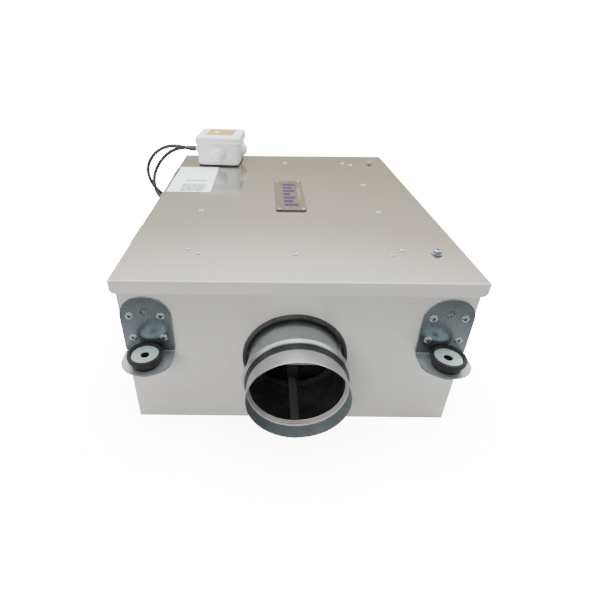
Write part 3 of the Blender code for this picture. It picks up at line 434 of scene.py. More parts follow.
LOOK = {word: maker(word, *values) for word, (maker, *values) in FINISHES.items()}


# ---------------- shape helpers


FLAT = Matrix.Identity(4)
UPRIGHT = Matrix.Rotation(pi / 2, 4, "X")
ON_AXIS = 1e-6


def to_mesh(shape, name):
    bmesh.ops.recalc_face_normals(shape, faces=shape.faces)
    mesh = bpy.data.meshes.new(name)
    shape.to_mesh(mesh)
    shape.free()
    return mesh


def baked(piece, *modifiers):
    """Applies modifiers given as (kind, settings) to an object that isn't a piece yet; returns its mesh."""
    for kind, settings in modifiers:
        step = piece.modifiers.new(kind, kind)
        for word, value in settings.items():
            setattr(step, word, value)
    bpy.context.view_layer.update()
    return bpy.data.meshes.new_from_object(piece.evaluated_get(bpy.context.evaluated_depsgraph_get()))


def carved(blank, tools, *first):
    """The blank's mesh after the first modifiers and with the tools' shapes taken out; all are used up."""
    steps = [("BOOLEAN", {"operation": "DIFFERENCE", "object": tool, "solver": "EXACT"}) for tool in tools]
    made = baked(blank, *first, *steps)
    for piece in (blank, *tools):
        bpy.data.objects.remove(piece, do_unlink=True)
    return made


def smooth(mesh, sharp):
    mesh.shade_smooth()
    mesh.set_sharp_from_angle(angle=radians(sharp))


def settle(name, shape, body, look, replaced=(), sharp=35):
    """Links a finished shape as a piece that rides on its body. Its looks are one word for each index."""
    mesh = shape if isinstance(shape, bpy.types.Mesh) else to_mesh(shape, name)
    smooth(mesh, sharp)
    piece = new_object(name, mesh)
    words = look.split()
    for word in words:
        mesh.materials.append(LOOK[word])
    piece.data = baked(piece, ("WEIGHTED_NORMAL", {"keep_sharp": True}))
    piece.modifiers.clear()
    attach(piece, body)
    if replaced:
        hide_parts(*replaced)
    return piece


def aim(centre, direction):
    return at(*centre) @ Vector(direction).to_track_quat("Z", "Y").to_matrix().to_4x4()


def soften(points, radius, steps=3):
    """A closed outline with each corner rounded."""
    made = []
    for index, point in enumerate(points):
        point = Vector(point)
        before = Vector(points[index - 1]) - point
        after = Vector(points[(index + 1) % len(points)]) - point
        trim = min(radius, before.length * 0.45, after.length * 0.45)
        start, end = point + before.normalized() * trim, point + after.normalized() * trim
        for step in range(steps + 1):
            t = step / steps
            made.append(tuple((1 - t) ** 2 * start + 2 * (1 - t) * t * point + t * t * end))
    return made


def skin(shape, rings, closed, looks=None):
    """Quads between rings of equal or single vertices, each band with the look of its first ring."""
    pairs = list(zip(rings, rings[1:]))
    if closed:
        pairs.append((rings[-1], rings[0]))
    for index, (first, second) in enumerate(pairs):
        count = max(len(first), len(second))
        for step in range(count):
            after = (step + 1) % count
            corners = list(dict.fromkeys((
                first[step % len(first)], first[after % len(first)],
                second[after % len(second)], second[step % len(second)],
            )))
            if len(corners) > 2:
                shape.faces.new(corners).material_index = looks[index] if looks else 0


def cap(shape, rings, look=0):
    for ring in (rings[0], rings[-1]):
        if len(ring) > 1:
            shape.faces.new(ring).material_index = look


def lathe(shape, profile, sides, place, lap=0.0, start=0.0, looks=None, capped=False):
    """Turns a profile of (radius, height) about place's Z axis. A lap makes it a rolled sheet's spiral.

    A profile that starts off the axis closes on itself, or is capped with a flat lid at each open end.
    """
    rings = []
    for radius, height in profile:
        columns = 1 if radius < ON_AXIS else sides + 1 if lap else sides
        rings.append([])
        for step in range(columns):
            turn = start + tau * step / sides
            reach = 0 if radius < ON_AXIS else radius + lap * (step / sides - 0.5)
            rings[-1].append(shape.verts.new(place @ Vector((reach * cos(turn), reach * sin(turn), height))))
    skin(shape, rings, profile[0][0] > ON_AXIS and not capped, looks)
    if capped:
        cap(shape, rings, looks[0])


def turned(name, profile, sides, centre, direction, body, look, replaced=()):
    shape = bmesh.new()
    lathe(shape, profile, sides, aim(centre, direction))
    return settle(name, shape, body, look, replaced)


def arc(cx, cy, radius, start, end, steps, squash=1.0):
    turns = [radians(start + (end - start) * step / steps) for step in range(steps + 1)]
    return [(cx + radius * cos(turn), cy + squash * radius * sin(turn)) for turn in turns]


def round_rectangle(width, height, radius, steps=6):
    x, y = width / 2 - radius, height / 2 - radius
    spots = ((x, y, 0), (-x, y, 90), (-x, -y, 180), (x, -y, 270))
    return [p for px, py, turn in spots for p in arc(px, py, radius, turn, turn + 90, steps)]


def square_loft(name, profile, place, body, look, replaced, steps=7):
    """Rounded squares of (half width, corner radius, height) joined in order, both ends closed over."""
    shape = bmesh.new()
    rings = []
    for half, radius, height in profile:
        outline = round_rectangle(2 * half, 2 * half, radius, steps)
        rings.append([shape.verts.new(place @ Vector((x, y, height))) for x, y in outline])
    skin(shape, rings, False)
    cap(shape, rings)
    return settle(name, shape, body, look, replaced)


def plate(loops, thickness, place, edge=0.0):
    """A flat plate's shape from closed outlines, the first its edge and the rest holes, edges rounded."""
    curve = bpy.data.curves.new("pattern", "CURVE")
    curve.dimensions = "2D"
    curve.fill_mode = "BOTH"
    curve.extrude = thickness / 2 - edge
    curve.bevel_depth = edge
    curve.bevel_resolution = 2
    curve.offset = -edge
    for index, loop in enumerate(loops):
        spline = curve.splines.new("POLY")
        spline.points.add(len(loop) - 1)
        for point, (x, y) in zip(spline.points, loop[::-1] if index else loop):
            point.co = (x, y, 0, 1)
        spline.use_cyclic_u = True
    holder = new_object("pattern", curve)
    mesh = baked(holder)
    bpy.data.objects.remove(holder)
    shape = bmesh.new()
    shape.from_mesh(mesh)
    bmesh.ops.remove_doubles(shape, verts=shape.verts, dist=0.000005)
    bmesh.ops.transform(shape, matrix=place, verts=shape.verts)
    bpy.data.meshes.remove(mesh)
    return shape


def plated(name, loops, thickness, place, edge, body, look, replaced=()):
    return settle(name, plate(loops, thickness, place, edge), body, look, replaced)


def box_shape(shape, low, high, place=FLAT):
    low, high = Vector(low), Vector(high)
    matrix = place @ Matrix.Translation((low + high) / 2) @ Matrix.Diagonal((*(high - low), 1.0))
    return bmesh.ops.create_cube(shape, size=1.0, matrix=matrix)["verts"]


def round_edges(shape, edges, radius, steps):
    bmesh.ops.bevel(shape, geom=edges, offset=radius, segments=steps, profile=0.5, affect="EDGES")


def block(shape, low, high, edge=0.0, steps=2):
    """A box with rounded edges added to a shape being built."""
    made = box_shape(shape, low, high)
    if edge:
        round_edges(shape, list({e for v in made for e in v.link_edges}), edge, steps)


def smooth_route(points, spacing):
    """Points about one spacing apart on the smooth curve through the route's own points, and its length."""
    route = [Vector(point) for point in points]
    route = [2 * route[0] - route[1], *route, 2 * route[-1] - route[-2]]
    fine = []
    for before, start, end, after in zip(route, route[1:], route[2:], route[3:]):
        for step in range(24):
            t = step / 24
            fine.append(0.5 * (
                2 * start + (end - before) * t + (2 * before - 5 * start + 4 * end - after) * t ** 2
                + (3 * start - before - 3 * end + after) * t ** 3
            ))
    kept = [fine[0]]
    for point in fine[1:]:
        if (point - kept[-1]).length >= spacing:
            kept.append(point)
    kept.append(route[-2])
    return kept, sum((b - a).length for a, b in zip(kept, kept[1:]))


def tube(shape, path, radius, sides):
    """A round tube along a path, its ends closed, its rings turned as little as they can be."""
    across = Vector((0, 1, 0))
    rings = []
    for index, point in enumerate(path):
        ahead = (path[min(index + 1, len(path) - 1)] - path[max(index - 1, 0)]).normalized()
        across = (across - ahead * across.dot(ahead)).normalized()
        other = ahead.cross(across)
        turns = [tau * k / sides for k in range(sides)]
        rings.append([shape.verts.new(point + radius * (cos(t) * across + sin(t) * other)) for t in turns])
    skin(shape, rings, False)
    cap(shape, rings)


# ---------------- cables


CABLE_R = 0.0039
# The routes' own points in the CAD: level out of the junction box, past the lid's edge, back to the gland.
ROUTE_A = (
    (-0.1986, 0.2374, 0.2632), (-0.2115, 0.2383, 0.2645), (-0.2280, 0.2384, 0.2682),
    (-0.2459, 0.2378, 0.2703), (-0.2640, 0.2370, 0.2685), (-0.2800, 0.2366, 0.2618),
    (-0.2930, 0.2365, 0.2520), (-0.3030, 0.2365, 0.2400), (-0.3100, 0.2367, 0.2262),
    (-0.3127, 0.2370, 0.2115), (-0.3110, 0.2374, 0.1960), (-0.3060, 0.2378, 0.1820),
    (-0.2978, 0.2380, 0.1692), (-0.2855, 0.2381, 0.1572), (-0.2655, 0.2380, 0.1458),
    (-0.2431, 0.2380, 0.1430),
)
ROUTE_B = (
    (-0.1980, 0.2450, 0.2653), (-0.2115, 0.2459, 0.2655), (-0.2270, 0.2458, 0.2645),
    (-0.2431, 0.2445, 0.2619), (-0.2600, 0.2425, 0.2545), (-0.2757, 0.2395, 0.2415),
    (-0.2870, 0.2350, 0.2270), (-0.2945, 0.2300, 0.2120), (-0.2979, 0.2255, 0.1965),
    (-0.2968, 0.2215, 0.1800), (-0.2905, 0.2180, 0.1640), (-0.2790, 0.2155, 0.1520),
    (-0.2620, 0.2143, 0.1446), (-0.2430, 0.2140, 0.1430),
)


def make_cable(letter, route):
    """A cable from the junction box on the lid, level along the lid, down to its gland on the casing; it is a
    fixed tube and rides on neither body.
    """
    path, length = smooth_route(route, 0.0022)
    name = f"cable_{letter}_sheath"
    shape = bmesh.new()
    tube(shape, path, CABLE_R, 16)
    mesh = to_mesh(shape, name)
    smooth(mesh, 50)
    mesh.materials.append(LOOK["cable"])
    piece = new_object(name, mesh)
    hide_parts(f"cable_{letter}")
    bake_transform(piece)


make_cable("a", ROUTE_A)
make_cable("b", ROUTE_B)


# ---------------- lid


LID_W, LID_L, LID_TOP = 0.460, 0.570, 0.238
SKIRT, SHEET = 0.019, 0.001
GAP = 0.0003  # what a piece on the lid stands clear of it
SCREWS = {"front": (0.191, -0.209), "rear": (0.191, 0.218)}
LID_RIVETS = (
    (0.0, -0.213), (0.130, -0.213), (-0.130, -0.213), (0.147, -0.200), (-0.147, -0.200),
    (0.147, -0.063), (-0.147, -0.063), (0.149, 0.075), (0.132, 0.224), (0.148, 0.211), (0.003, 0.224),
)
NAME_X, NAME_Y = 0.0025, 0.013
NAME_W, NAME_L, NAME_T = 0.052, 0.152, 0.002
NAME_TOP = LID_TOP + GAP + NAME_T
LABEL_LOW, LABEL_HIGH = (-0.2240, 0.0270), (-0.1425, 0.1840)


def make_lid():
    """The lid's folded sheet, its bends rounded, its skirt's lower corners cut round."""
    shape = bmesh.new()
    half_w, half_l = LID_W / 2, LID_L / 2
    box_shape(shape, (-half_w, -half_l, LID_TOP - SKIRT), (half_w, half_l, LID_TOP))
    under = [face for face in shape.faces if face.normal.z < -0.5]
    bmesh.ops.delete(shape, geom=under, context="FACES")
    round_edges(shape, [edge for edge in shape.edges if not edge.is_boundary], 0.0017, 4)
    blank = new_object("lid_blank", to_mesh(shape, "lid_blank"))
    corner, out, overlap, waste_t = 0.007, 0.002, 0.0005, 0.0036
    tools = []
    for half, along, turn in ((half_w, half_l, 0), (half_l, half_w, pi / 2)):
        waste = [(half + out, corner), (half + out, -out), (half - corner, -out)]
        waste += arc(half - corner, corner, corner, 270, 360, 8)
        for hand in (-1, 1):
            spot = at(0, hand * (along - overlap), LID_TOP - SKIRT)
            place = Matrix.Rotation(turn, 4, "Z") @ spot @ UPRIGHT
            for loop in (waste, [(-x, z) for x, z in waste[::-1]]):
                tools.append(new_object("waste", to_mesh(plate([loop], waste_t, place), "waste")))
    drills = bmesh.new()
    for x, y in SCREWS.values():
        lathe(drills, mm([(0, -10), (3.6, -10), (3.6, 10), (0, 10)]), 24, aim((x, y, LID_TOP), UP))
    tools.append(new_object("drills", to_mesh(drills, "drills")))
    made = carved(blank, tools, ("SOLIDIFY", {"thickness": SHEET, "offset": -1.0, "use_even_offset": True}))
    made.name = "lid_sheet"
    made.materials.clear()
    # Faces that look straight up get the darker lid look. All other faces (folds, skirt, underside) get the
    # lighter skirt look. This is painted light and shade on one sheet.
    for face in made.polygons:
        face.material_index = 0 if face.normal.z > 0.97 else 1
    settle("lid_sheet", made, "lid", "lid skirt", ("lid",), 30)


def make_rivets(name, head, height, places, body, sides=28):
    """Blind rivets at (centre, direction): a set head, its recess and the stub of its mandrel. The stub is
    coloured near black, partly painted shade in the recess.
    """
    hole, sunk = head * 0.33, -0.0006
    rings = [
        (head * 0.90, -0.0002), (head, 0.0), (head * 0.97, height * 0.30), (head * 0.84, height * 0.66),
        (head * 0.66, height * 0.90), (head * 0.50, height), (hole * 1.12, height * 0.93),
        (hole, height * 0.78), (hole, sunk), (hole * 0.8, sunk), (0, sunk),
    ]
    stub = [(0, height * 0.22), (head * 0.20, height * 0.20), (head * 0.27, 0.0), (head * 0.27, -0.0004)]
    shape = bmesh.new()
    for centre, direction in places:
        place = aim(centre, direction)
        for look, (profile, columns) in enumerate(((rings, sides), (stub, 14))):
            lathe(shape, profile, columns, place, looks=[look] * len(profile), capped=True)
    return settle(name, shape, body, "rivet rivet_core")


def make_lid_screw(side):
    """A pan-head cross-recess screw on its plain washer."""
    centre = (*SCREWS[side], LID_TOP + GAP)
    washer = soften(mm([(7.8, 1.5), (7.8, 0), (3.2, 0), (3.2, 1.5)]), 0.0004)
    turned(f"washer_{side}", washer, 40, centre, UP, "lid", "screw")
    shape = bmesh.new()
    lathe(shape, mm([
        (0, 6.2), (2.4, 6.1), (4.2, 5.6), (5.3, 4.7), (5.9, 3.5), (6, 1.7), (3, 1.6), (3, -24.2),
        (2.2, -25.5), (0, -25.5),
    ]), 40, aim(centre, UP))
    blank = new_object("screw_blank", to_mesh(shape, "screw_blank"))
    tools = []
    length, width, mouth, depth, short, narrow = mm([4.0, 1.0, 2.0, 3.4, 1.8, 0.7])
    for turn in (0, pi / 2):
        place = aim(centre, UP) @ at(0, 0, 0.0061) @ Matrix.Rotation(turn + 0.35, 4, "Z")
        bar = bmesh.new()
        rings = [
            [bar.verts.new(place @ Vector((sx * x, sy * y, z))) for sx, sy in QUAD]
            for x, y, z in ((length, width, mouth), (short, narrow, -depth))
        ]
        skin(bar, rings, False)
        cap(bar, rings)
        tools.append(new_object("pit", to_mesh(bar, "pit")))
    settle(f"screw_{side}", carved(blank, tools), "lid", "screw", (f"lid_screw_{side}",), 30)


def make_name_plate():
    """The raised plate, its own word left out: plain bars in the same colour and place instead."""
    centre = at(NAME_X, NAME_Y, NAME_TOP - NAME_T / 2)
    outline = round_rectangle(NAME_W, NAME_L, 0.005, 8)
    plated("name_plate_sheet", [outline], NAME_T, centre, 0.0004, "lid", "plate", ("name_plate",))
    dx, dy = NAME_W / 2 - 0.006, NAME_L / 2 - 0.006
    places = [((NAME_X + x, NAME_Y + y, NAME_TOP), UP) for x in (-dx, dx) for y in (-dy, dy)]
    make_rivets("name_plate_rivet_heads", 0.0024, 0.0011, places, "lid", 20)
    shape = bmesh.new()
    left, bar, pitch = NAME_X - 0.011, 0.0055, 0.0175
    for index, length in enumerate(mm([24, 16, 21, 12, 21, 16, 24])):
        y = NAME_Y + (3 - index) * pitch
        block(shape, (left, y - bar, NAME_TOP), (left + length, y + bar, NAME_TOP + 0.00012))
    settle("name_plate_bars", shape, "lid", "violet")
    shape = bmesh.new()
    low = (NAME_X + 0.0155, NAME_Y - 0.030, NAME_TOP)
    high = (NAME_X + 0.018, NAME_Y + 0.034, NAME_TOP + 0.0001)
    block(shape, low, high)
    settle("name_plate_rule", shape, "lid", "grey_ink")


def make_rating_label():
    """The white rating label, its text left out: rows of plain grey dashes where the print is."""
    left, front = LABEL_LOW
    width, length = LABEL_HIGH[0] - left, LABEL_HIGH[1] - front
    film = 0.0002
    centre = at(left + width / 2, front + length / 2, LID_TOP + film)
    plated("rating_label", [round_rectangle(width, length, 0.0015, 4)], film, centre, 0.0, "lid", "label")
    draw = random.Random(7)
    shape = bmesh.new()
    ink = LID_TOP + 1.5 * film
    rows = [(0.0925, 0.31, 0.82, 0.0050, 0.020)]
    rows += [(0.0700 - index * 0.0062, 0.29, 0.84, 0.0038, 0.016) for index in range(7)]
    for y, start, end, height, longest in rows:
        x, end = left + start * width, left + end * width
        while x < end:
            dash = min(longest * draw.uniform(0.35, 1.0), end - x)
            if dash > 0.0012:
                block(shape, (x, y - height / 2, ink), (x + dash, y + height / 2, ink + 0.00005))
            x += dash + 0.0011 + 0.0008 * draw.random()
    settle("rating_label_print", shape, "lid", "ink")


make_lid()
lid_rivet_places = [((x, y, LID_TOP), UP) for x, y in LID_RIVETS]
make_rivets("lid_rivet_heads", 0.0046, 0.0017, lid_rivet_places, "lid")
for word in SIDES:
    make_lid_screw(word)
make_name_plate()
make_rating_label()


# ---------------- junction box


BOX_PLACE = at(-0.140, 0.236, 0) @ Matrix.Rotation(radians(-5), 4, "Z")
BASE_Z, BOX_TOP, ENTRY_Z = 0.2403, 0.3000, 0.2655
BOX_HALF = 0.0458


def make_junction_box():
    """The open box in its own moulding, a stepped cable entry on each side, and the pad it stands on."""
    profile = mm([
        (38.5, 6, 0), (42, 7, 0.2), (43.8, 8, 1.4), (44.7, 8.5, 3.6), (45, 8.8, 7), (46, 9, 38.7),
        (46.3, 9, 43.7), (46.3, 9, 46.1), (45.8, 8.6, 46.7), (44.4, 7.6, 46.7), (44, 7.2, 46.1), (43.2, 7, 4),
        (42, 6.2, 2.4), (40, 6, 2.2),
    ])
    foot = BOX_PLACE @ at(0, 0, BASE_Z)
    square_loft("junction_base_shell", profile, foot, "lid", "box", ("junction_base",))
    entry = mm([
        (0, 11), (6.6, 11), (7.8, 10.6), (8.3, 9.8), (8.8, 8.4), (10.8, 7.9), (11.2, 7.3), (11.6, 5.8),
        (13.6, 5.2), (14, 4.6), (14.4, 3.4), (16.6, 2.8), (17.4, 2.2), (18, 1.2), (18.2, -2.2), (0, -2.2),
    ])
    shape = bmesh.new()
    for x, y in ((0, -1), (1, 0), (0, 1), (-1, 0)):
        lathe(shape, entry, 48, BOX_PLACE @ aim((x * BOX_HALF, y * BOX_HALF, ENTRY_Z), (x, y, 0)))
    settle("junction_entries", shape, "lid", "box", sharp=28)
    pad = BOX_PLACE @ at(0, 0, LID_TOP + GAP + 0.00085)
    outline = round_rectangle(0.088, 0.088, 0.0075, 8)
    plated("junction_pad", [outline], 0.0017, pad, 0.0005, "lid", "seal", ("junction_gasket",))


def make_junction_cover():
    """The push-on cover, a rounded cap with a lip round its lower edge, and its sticker."""
    profile = mm([
        (42, 8, -2.2), (45.4, 8.6, -3.4), (46.4, 8.8, -6), (46.8, 9, -14.6), (47.4, 9.4, -15),
        (48.6, 10, -15), (49, 10.2, -14.5), (49, 10.2, -11.4), (48.4, 10, -10.7), (48.2, 10, -3.4),
        (47.7, 10, -1.8), (46.5, 9.6, -0.6), (44.8, 8.8, -0.1), (42, 8, 0),
    ])
    top = BOX_PLACE @ at(0, 0, BOX_TOP)
    square_loft("junction_cover_cap", profile, top, "junction_cover", "box", ("junction_cover",), 8)
    for name, look, loop, lift in (
        ("rim", "gold_edge", round_rectangle(0.0580, 0.0530, 0.002, 4), 0.00005),
        ("face", "gold", round_rectangle(0.0540, 0.0490, 0.002, 4), 0.00015),
        # The white dot on the sticker stands for a highlight. This is a painted highlight.
        ("dot", "label", arc(-0.011, 0.002, 0.0062, 0, 345, 23), 0.00022),
    ):
        place = top @ at(0.0005, 0.0045, lift)
        plated(f"cover_label_{name}", [loop], 0.00014, place, 0.0, "junction_cover", look)


def make_terminals():
    """A strip of six terminals with two screws in each."""
    floor, top, pitch, deep = BASE_Z + 0.0025, BASE_Z + 0.0155, 0.0085, 0.009
    middles = [(way - 2.5) * pitch for way in range(6)]
    shape = bmesh.new()
    block(shape, (-3 * pitch, -deep, floor), (3 * pitch, deep, floor + 0.007), 0.0006)
    for x in middles:
        block(shape, (x - 0.0034, -deep, floor + 0.0062), (x + 0.0034, deep, top), 0.0008)
    bmesh.ops.transform(shape, matrix=BOX_PLACE, verts=shape.verts)
    settle("terminal_strip", shape, "lid", "terminal", ("terminal_block",))
    screw = mm([(0, 0.4), (1.6, 0.4), (1.9, 0.1), (1.9, -0.4), (0, -0.4)])
    shape = bmesh.new()
    for x in middles:
        for y in (-0.005, 0.005):
            lathe(shape, screw, 16, BOX_PLACE @ at(x, y, top))
    settle("terminal_screws", shape, "lid", "rivet")


make_junction_box()
make_junction_cover()
make_terminals()


# ---------------- spigots and hangers


WALL_Y, DUCT_Z = 0.2805, 0.118
# The sleeve's runs in order, each with the index of its look in SLEEVE_LOOKS.
# Of these looks, rim paints light and dark, the flank's look and sleeve paint shade into one rolled zinc
# sheet.
SLEEVE_LOOKS = "spigot bore rim dark groove sleeve"
SLEEVE_RUNS = (
    (5, [(73.5, -1.6), (62.6, -1.6), (62.4, 2)]),
    (0, [(62.4, 36.8), (62.9, 38.4), (64.6, 40.2), (66.3, 41.8), (67.1, 43), (67.4, 44.1), (67.3, 45.4),
         (66.7, 47.3), (66, 48.9), (65.6, 49.6)]),
    (4, [(65.1, 50.1), (61.6, 55.6), (61.3, 56.6)]),
    (0, [(61.4, 57), (61.8, 57.3), (62.1, 57.9), (63.3, 78.8), (63.2, 79.7), (63, 80), (62.7, 80)]),
    (1, [(62.5, 79.7), (62.1, 64)]),
    (2, [(61.9, 62.8), (60.9, 62.1), (60.3, 61.3), (60.2, 60.5), (60.4, 59.8), (59.9, 59), (59.5, 58),
         (59.4, 57.3), (59.6, 56.7)]),
    (3, [(59, 56.1), (59.6, 55.2), (60.2, 50), (60.2, -2.4), (73.5, -2.4)]),
)
BRACKET_X, BRACKET_W = 0.1915, 0.065
BRACKET_Z, BRACKET_TOP = 0.126, 0.213
BRACKET_SHEET, BRACKET_REACH = 0.0025, 0.048
BRACKET_FACE = WALL_Y + GAP
HANGING_Z, MOUNT_OUT = 0.1915, 0.026


def seam_turn(sign):
    """The lathe's own angle at which its radius points almost straight down."""
    down = aim((0, 0, 0), (0, sign, 0)).to_3x3().inverted() @ Vector((0.02, 0, -1))
    return atan2(down.y, down.x)


def make_spigot(side):
    """A rolled sleeve with a lap seam underneath, a stop bead and a plain mouth, in its rubber seal.

    Inside, a swaged ring stands behind the mouth, coloured as a lighter, warmer copy of the zinc in painted
    light. The sleeve beyond it is coloured black as painted shade.
    """
    sign = SIGN[side]
    centre, out = (0, sign * WALL_Y, DUCT_Z), (0, sign, 0)
    profile = mm([point for _, run in SLEEVE_RUNS for point in run])
    looks = [look for look, run in SLEEVE_RUNS for _ in run]
    shape = bmesh.new()
    lathe(shape, profile, 144, aim(centre, out), lap=0.0007, start=seam_turn(sign), looks=looks)
    settle(f"{side}_sleeve", shape, "casing", SLEEVE_LOOKS, (f"{side}_spigot",))
    shape = bmesh.new()
    near, far = sorted((sign * (WALL_Y - 0.0200), sign * (WALL_Y + 0.0540)))
    block(shape, (-0.0055, near, DUCT_Z - 0.0600), (0.0055, far, DUCT_Z - 0.0590), 0.0003)
    settle(f"{side}_seam_strip", shape, "casing", "rail")
    seal = mm([
        (70, 3), (69.7, 4.6), (68.8, 5.5), (67.4, 5.6), (65.5, 5), (64.2, 3.6), (63.4, 2.8), (63.2, 1),
        (63.2, 0.3), (69.8, 0.3), (70, 1),
    ])
    turned(f"{side}_seal_ring", seal, 96, centre, out, "casing", "seal", (f"{side}_spigot_seal",))


def make_bracket(side, hand):
    """The bracket as one bent sheet: an arched plate, a rounded bend and a tongue for the rubber mount.

    It is drawn flat, with y running along the sheet from the plate's top to the tongue's tip, then folded.
    """
    sign, x = SIGN[side], SIGN[hand] * BRACKET_X
    half, corner, bend, notch, ease = BRACKET_W / 2, 0.030, 0.0040, 0.0012, 0.0008
    bent = BRACKET_TOP - BRACKET_Z - bend
    level = bent + bend * pi / 2
    straight = level + BRACKET_REACH - bend - half * 0.8
    flank = [(half, bent - 0.0005), (half - notch, bent + ease), (half - notch, level - ease),
             (half, level + ease), (half, straight)]
    edge = [
        (-half, corner), *arc(corner - half, corner, corner, 180, 270, 12)[1:],
        *arc(half - corner, corner, corner, 270, 360, 12), *flank,
        *arc(0, straight, half, 0, 180, 28, 0.8)[1:-1], *[(-px, py) for px, py in flank[::-1]],
    ]
    hole = arc(0, BRACKET_TOP - HANGING_Z, 0.0055, 0, 345, 23)
    neck = arc(0, level + MOUNT_OUT - GAP - bend, 0.0121, 0, 350, 35)
    shape = bmesh.new()
    rims = []
    for loop in (edge, hole, neck):
        spots = [shape.verts.new((px, py, 0)) for px, py in loop]
        rims += [shape.edges.new(pair) for pair in zip(spots, spots[1:] + spots[:1])]
    bmesh.ops.triangle_fill(shape, use_beauty=True, use_dissolve=False, edges=rims)
    for step in range(9):
        fold = bent + (level - bent) * step / 8
        bmesh.ops.bisect_plane(shape, geom=shape.verts[:] + shape.edges[:] + shape.faces[:], dist=1e-7,
                               plane_co=(0, fold, 0), plane_no=(0, 1, 0))
    for vert in shape.verts:
        along = vert.co.y
        angle = min(max((along - bent) / bend, 0), pi / 2)
        y = bend * (1 - cos(angle)) + max(along - level, 0)
        z = BRACKET_Z + bend * (1 - sin(angle)) + max(bent - along, 0)
        vert.co = (x + vert.co.x, sign * (BRACKET_FACE + y), z)
    bmesh.ops.recalc_face_normals(shape, faces=shape.faces)
    highest = max(shape.faces, key=lambda f: f.calc_center_median().z)
    offset = 1.0 if highest.normal.y * sign > 0 else -1.0
    made = carved(
        new_object("bracket_blank", to_mesh(shape, "bracket_blank")), (),
        ("SOLIDIFY", {"thickness": BRACKET_SHEET, "offset": offset, "use_even_offset": True}),
        ("BEVEL", {"width": 0.00045, "segments": 2, "limit_method": "ANGLE", "angle_limit": radians(50)}),
    )
    made.materials.clear()
    # Faces that look up get the tongue look, lighter than the rest: painted light on the sheet's upper faces
    # and top edge.
    for facet in made.polygons:
        facet.material_index = 1 if facet.normal.z > 0.3 else 0
    name = f"bracket_{side}_{hand}"
    settle(f"{name}_sheet", made, "casing", "bracket tongue", (name,), 32)
    blank = mm([(0, 1.2), (4.6, 1.2), (5.3, 0.9), (5.3, 0.1), (0, 0.1)])
    turned(f"{name}_blank", blank, 36, (x, sign * BRACKET_FACE, HANGING_Z), (0, sign, 0), "casing", "bracket")
    front = sign * (BRACKET_FACE + BRACKET_SHEET)
    places = [((x + step * 0.01975, front, z), (0, sign, 0)) for step in (-1, 1) for z in (0.1505, 0.185)]
    make_rivets(f"{name}_rivets", 0.0054, 0.0022, places, "casing", sides=36)


def make_mount(side, hand):
    """A rubber grommet, tapered above and below the tongue, with a recessed steel disc on top."""
    centre = (SIGN[hand] * BRACKET_X, SIGN[side] * (WALL_Y + MOUNT_OUT), 0)
    profile = mm([
        (17.6, 144.2), (18.2, 144.8), (21.3, 144.8), (22.1, 144.1), (22.2, 143), (21.8, 139.6), (21.2, 138.4),
        (20, 136.8), (18.2, 130.2), (17.2, 128.8), (11.5, 128.8), (11.5, 125.7), (17.2, 125.7), (17.4, 124.9),
        (17, 120.5), (16.4, 119.7), (6.2, 119.7), (5.5, 120.5), (5.3, 121.7), (5.3, 140.2), (17.6, 140.2),
    ])
    disc = soften(mm([(17.3, 141.8), (17.3, 140.5), (5.5, 140.5), (5.5, 141.8)]), 0.0004)
    name, node = f"mount_{side}_{hand}", f"{side}_{hand}"
    turned(f"{name}_rubber", profile, 64, centre, UP, "casing", "rubber", (f"rubber_mount_{node}",))
    turned(f"{name}_disc", disc, 64, centre, UP, "casing", "disc", (f"mount_disc_{node}",))


for word in SIDES:
    make_spigot(word)
for word in SIDES:
    for hand_word in ("left", "right"):
        make_bracket(word, hand_word)
        make_mount(word, hand_word)


# ---------------- hinges and glands


HINGE_X, HINGE_Z = -0.2335, 0.215
THIRD, PLAY = 0.020, 0.0003  # a knuckle's length, and what it stands clear by at each end
# The leaves' corners in (x, z), low and high.
CASING_LEAF = (-0.2258, 0.1880), (-0.2243, 0.2137)
LID_LEAF = (-0.2318, 0.2187), (-0.2303, 0.2362)


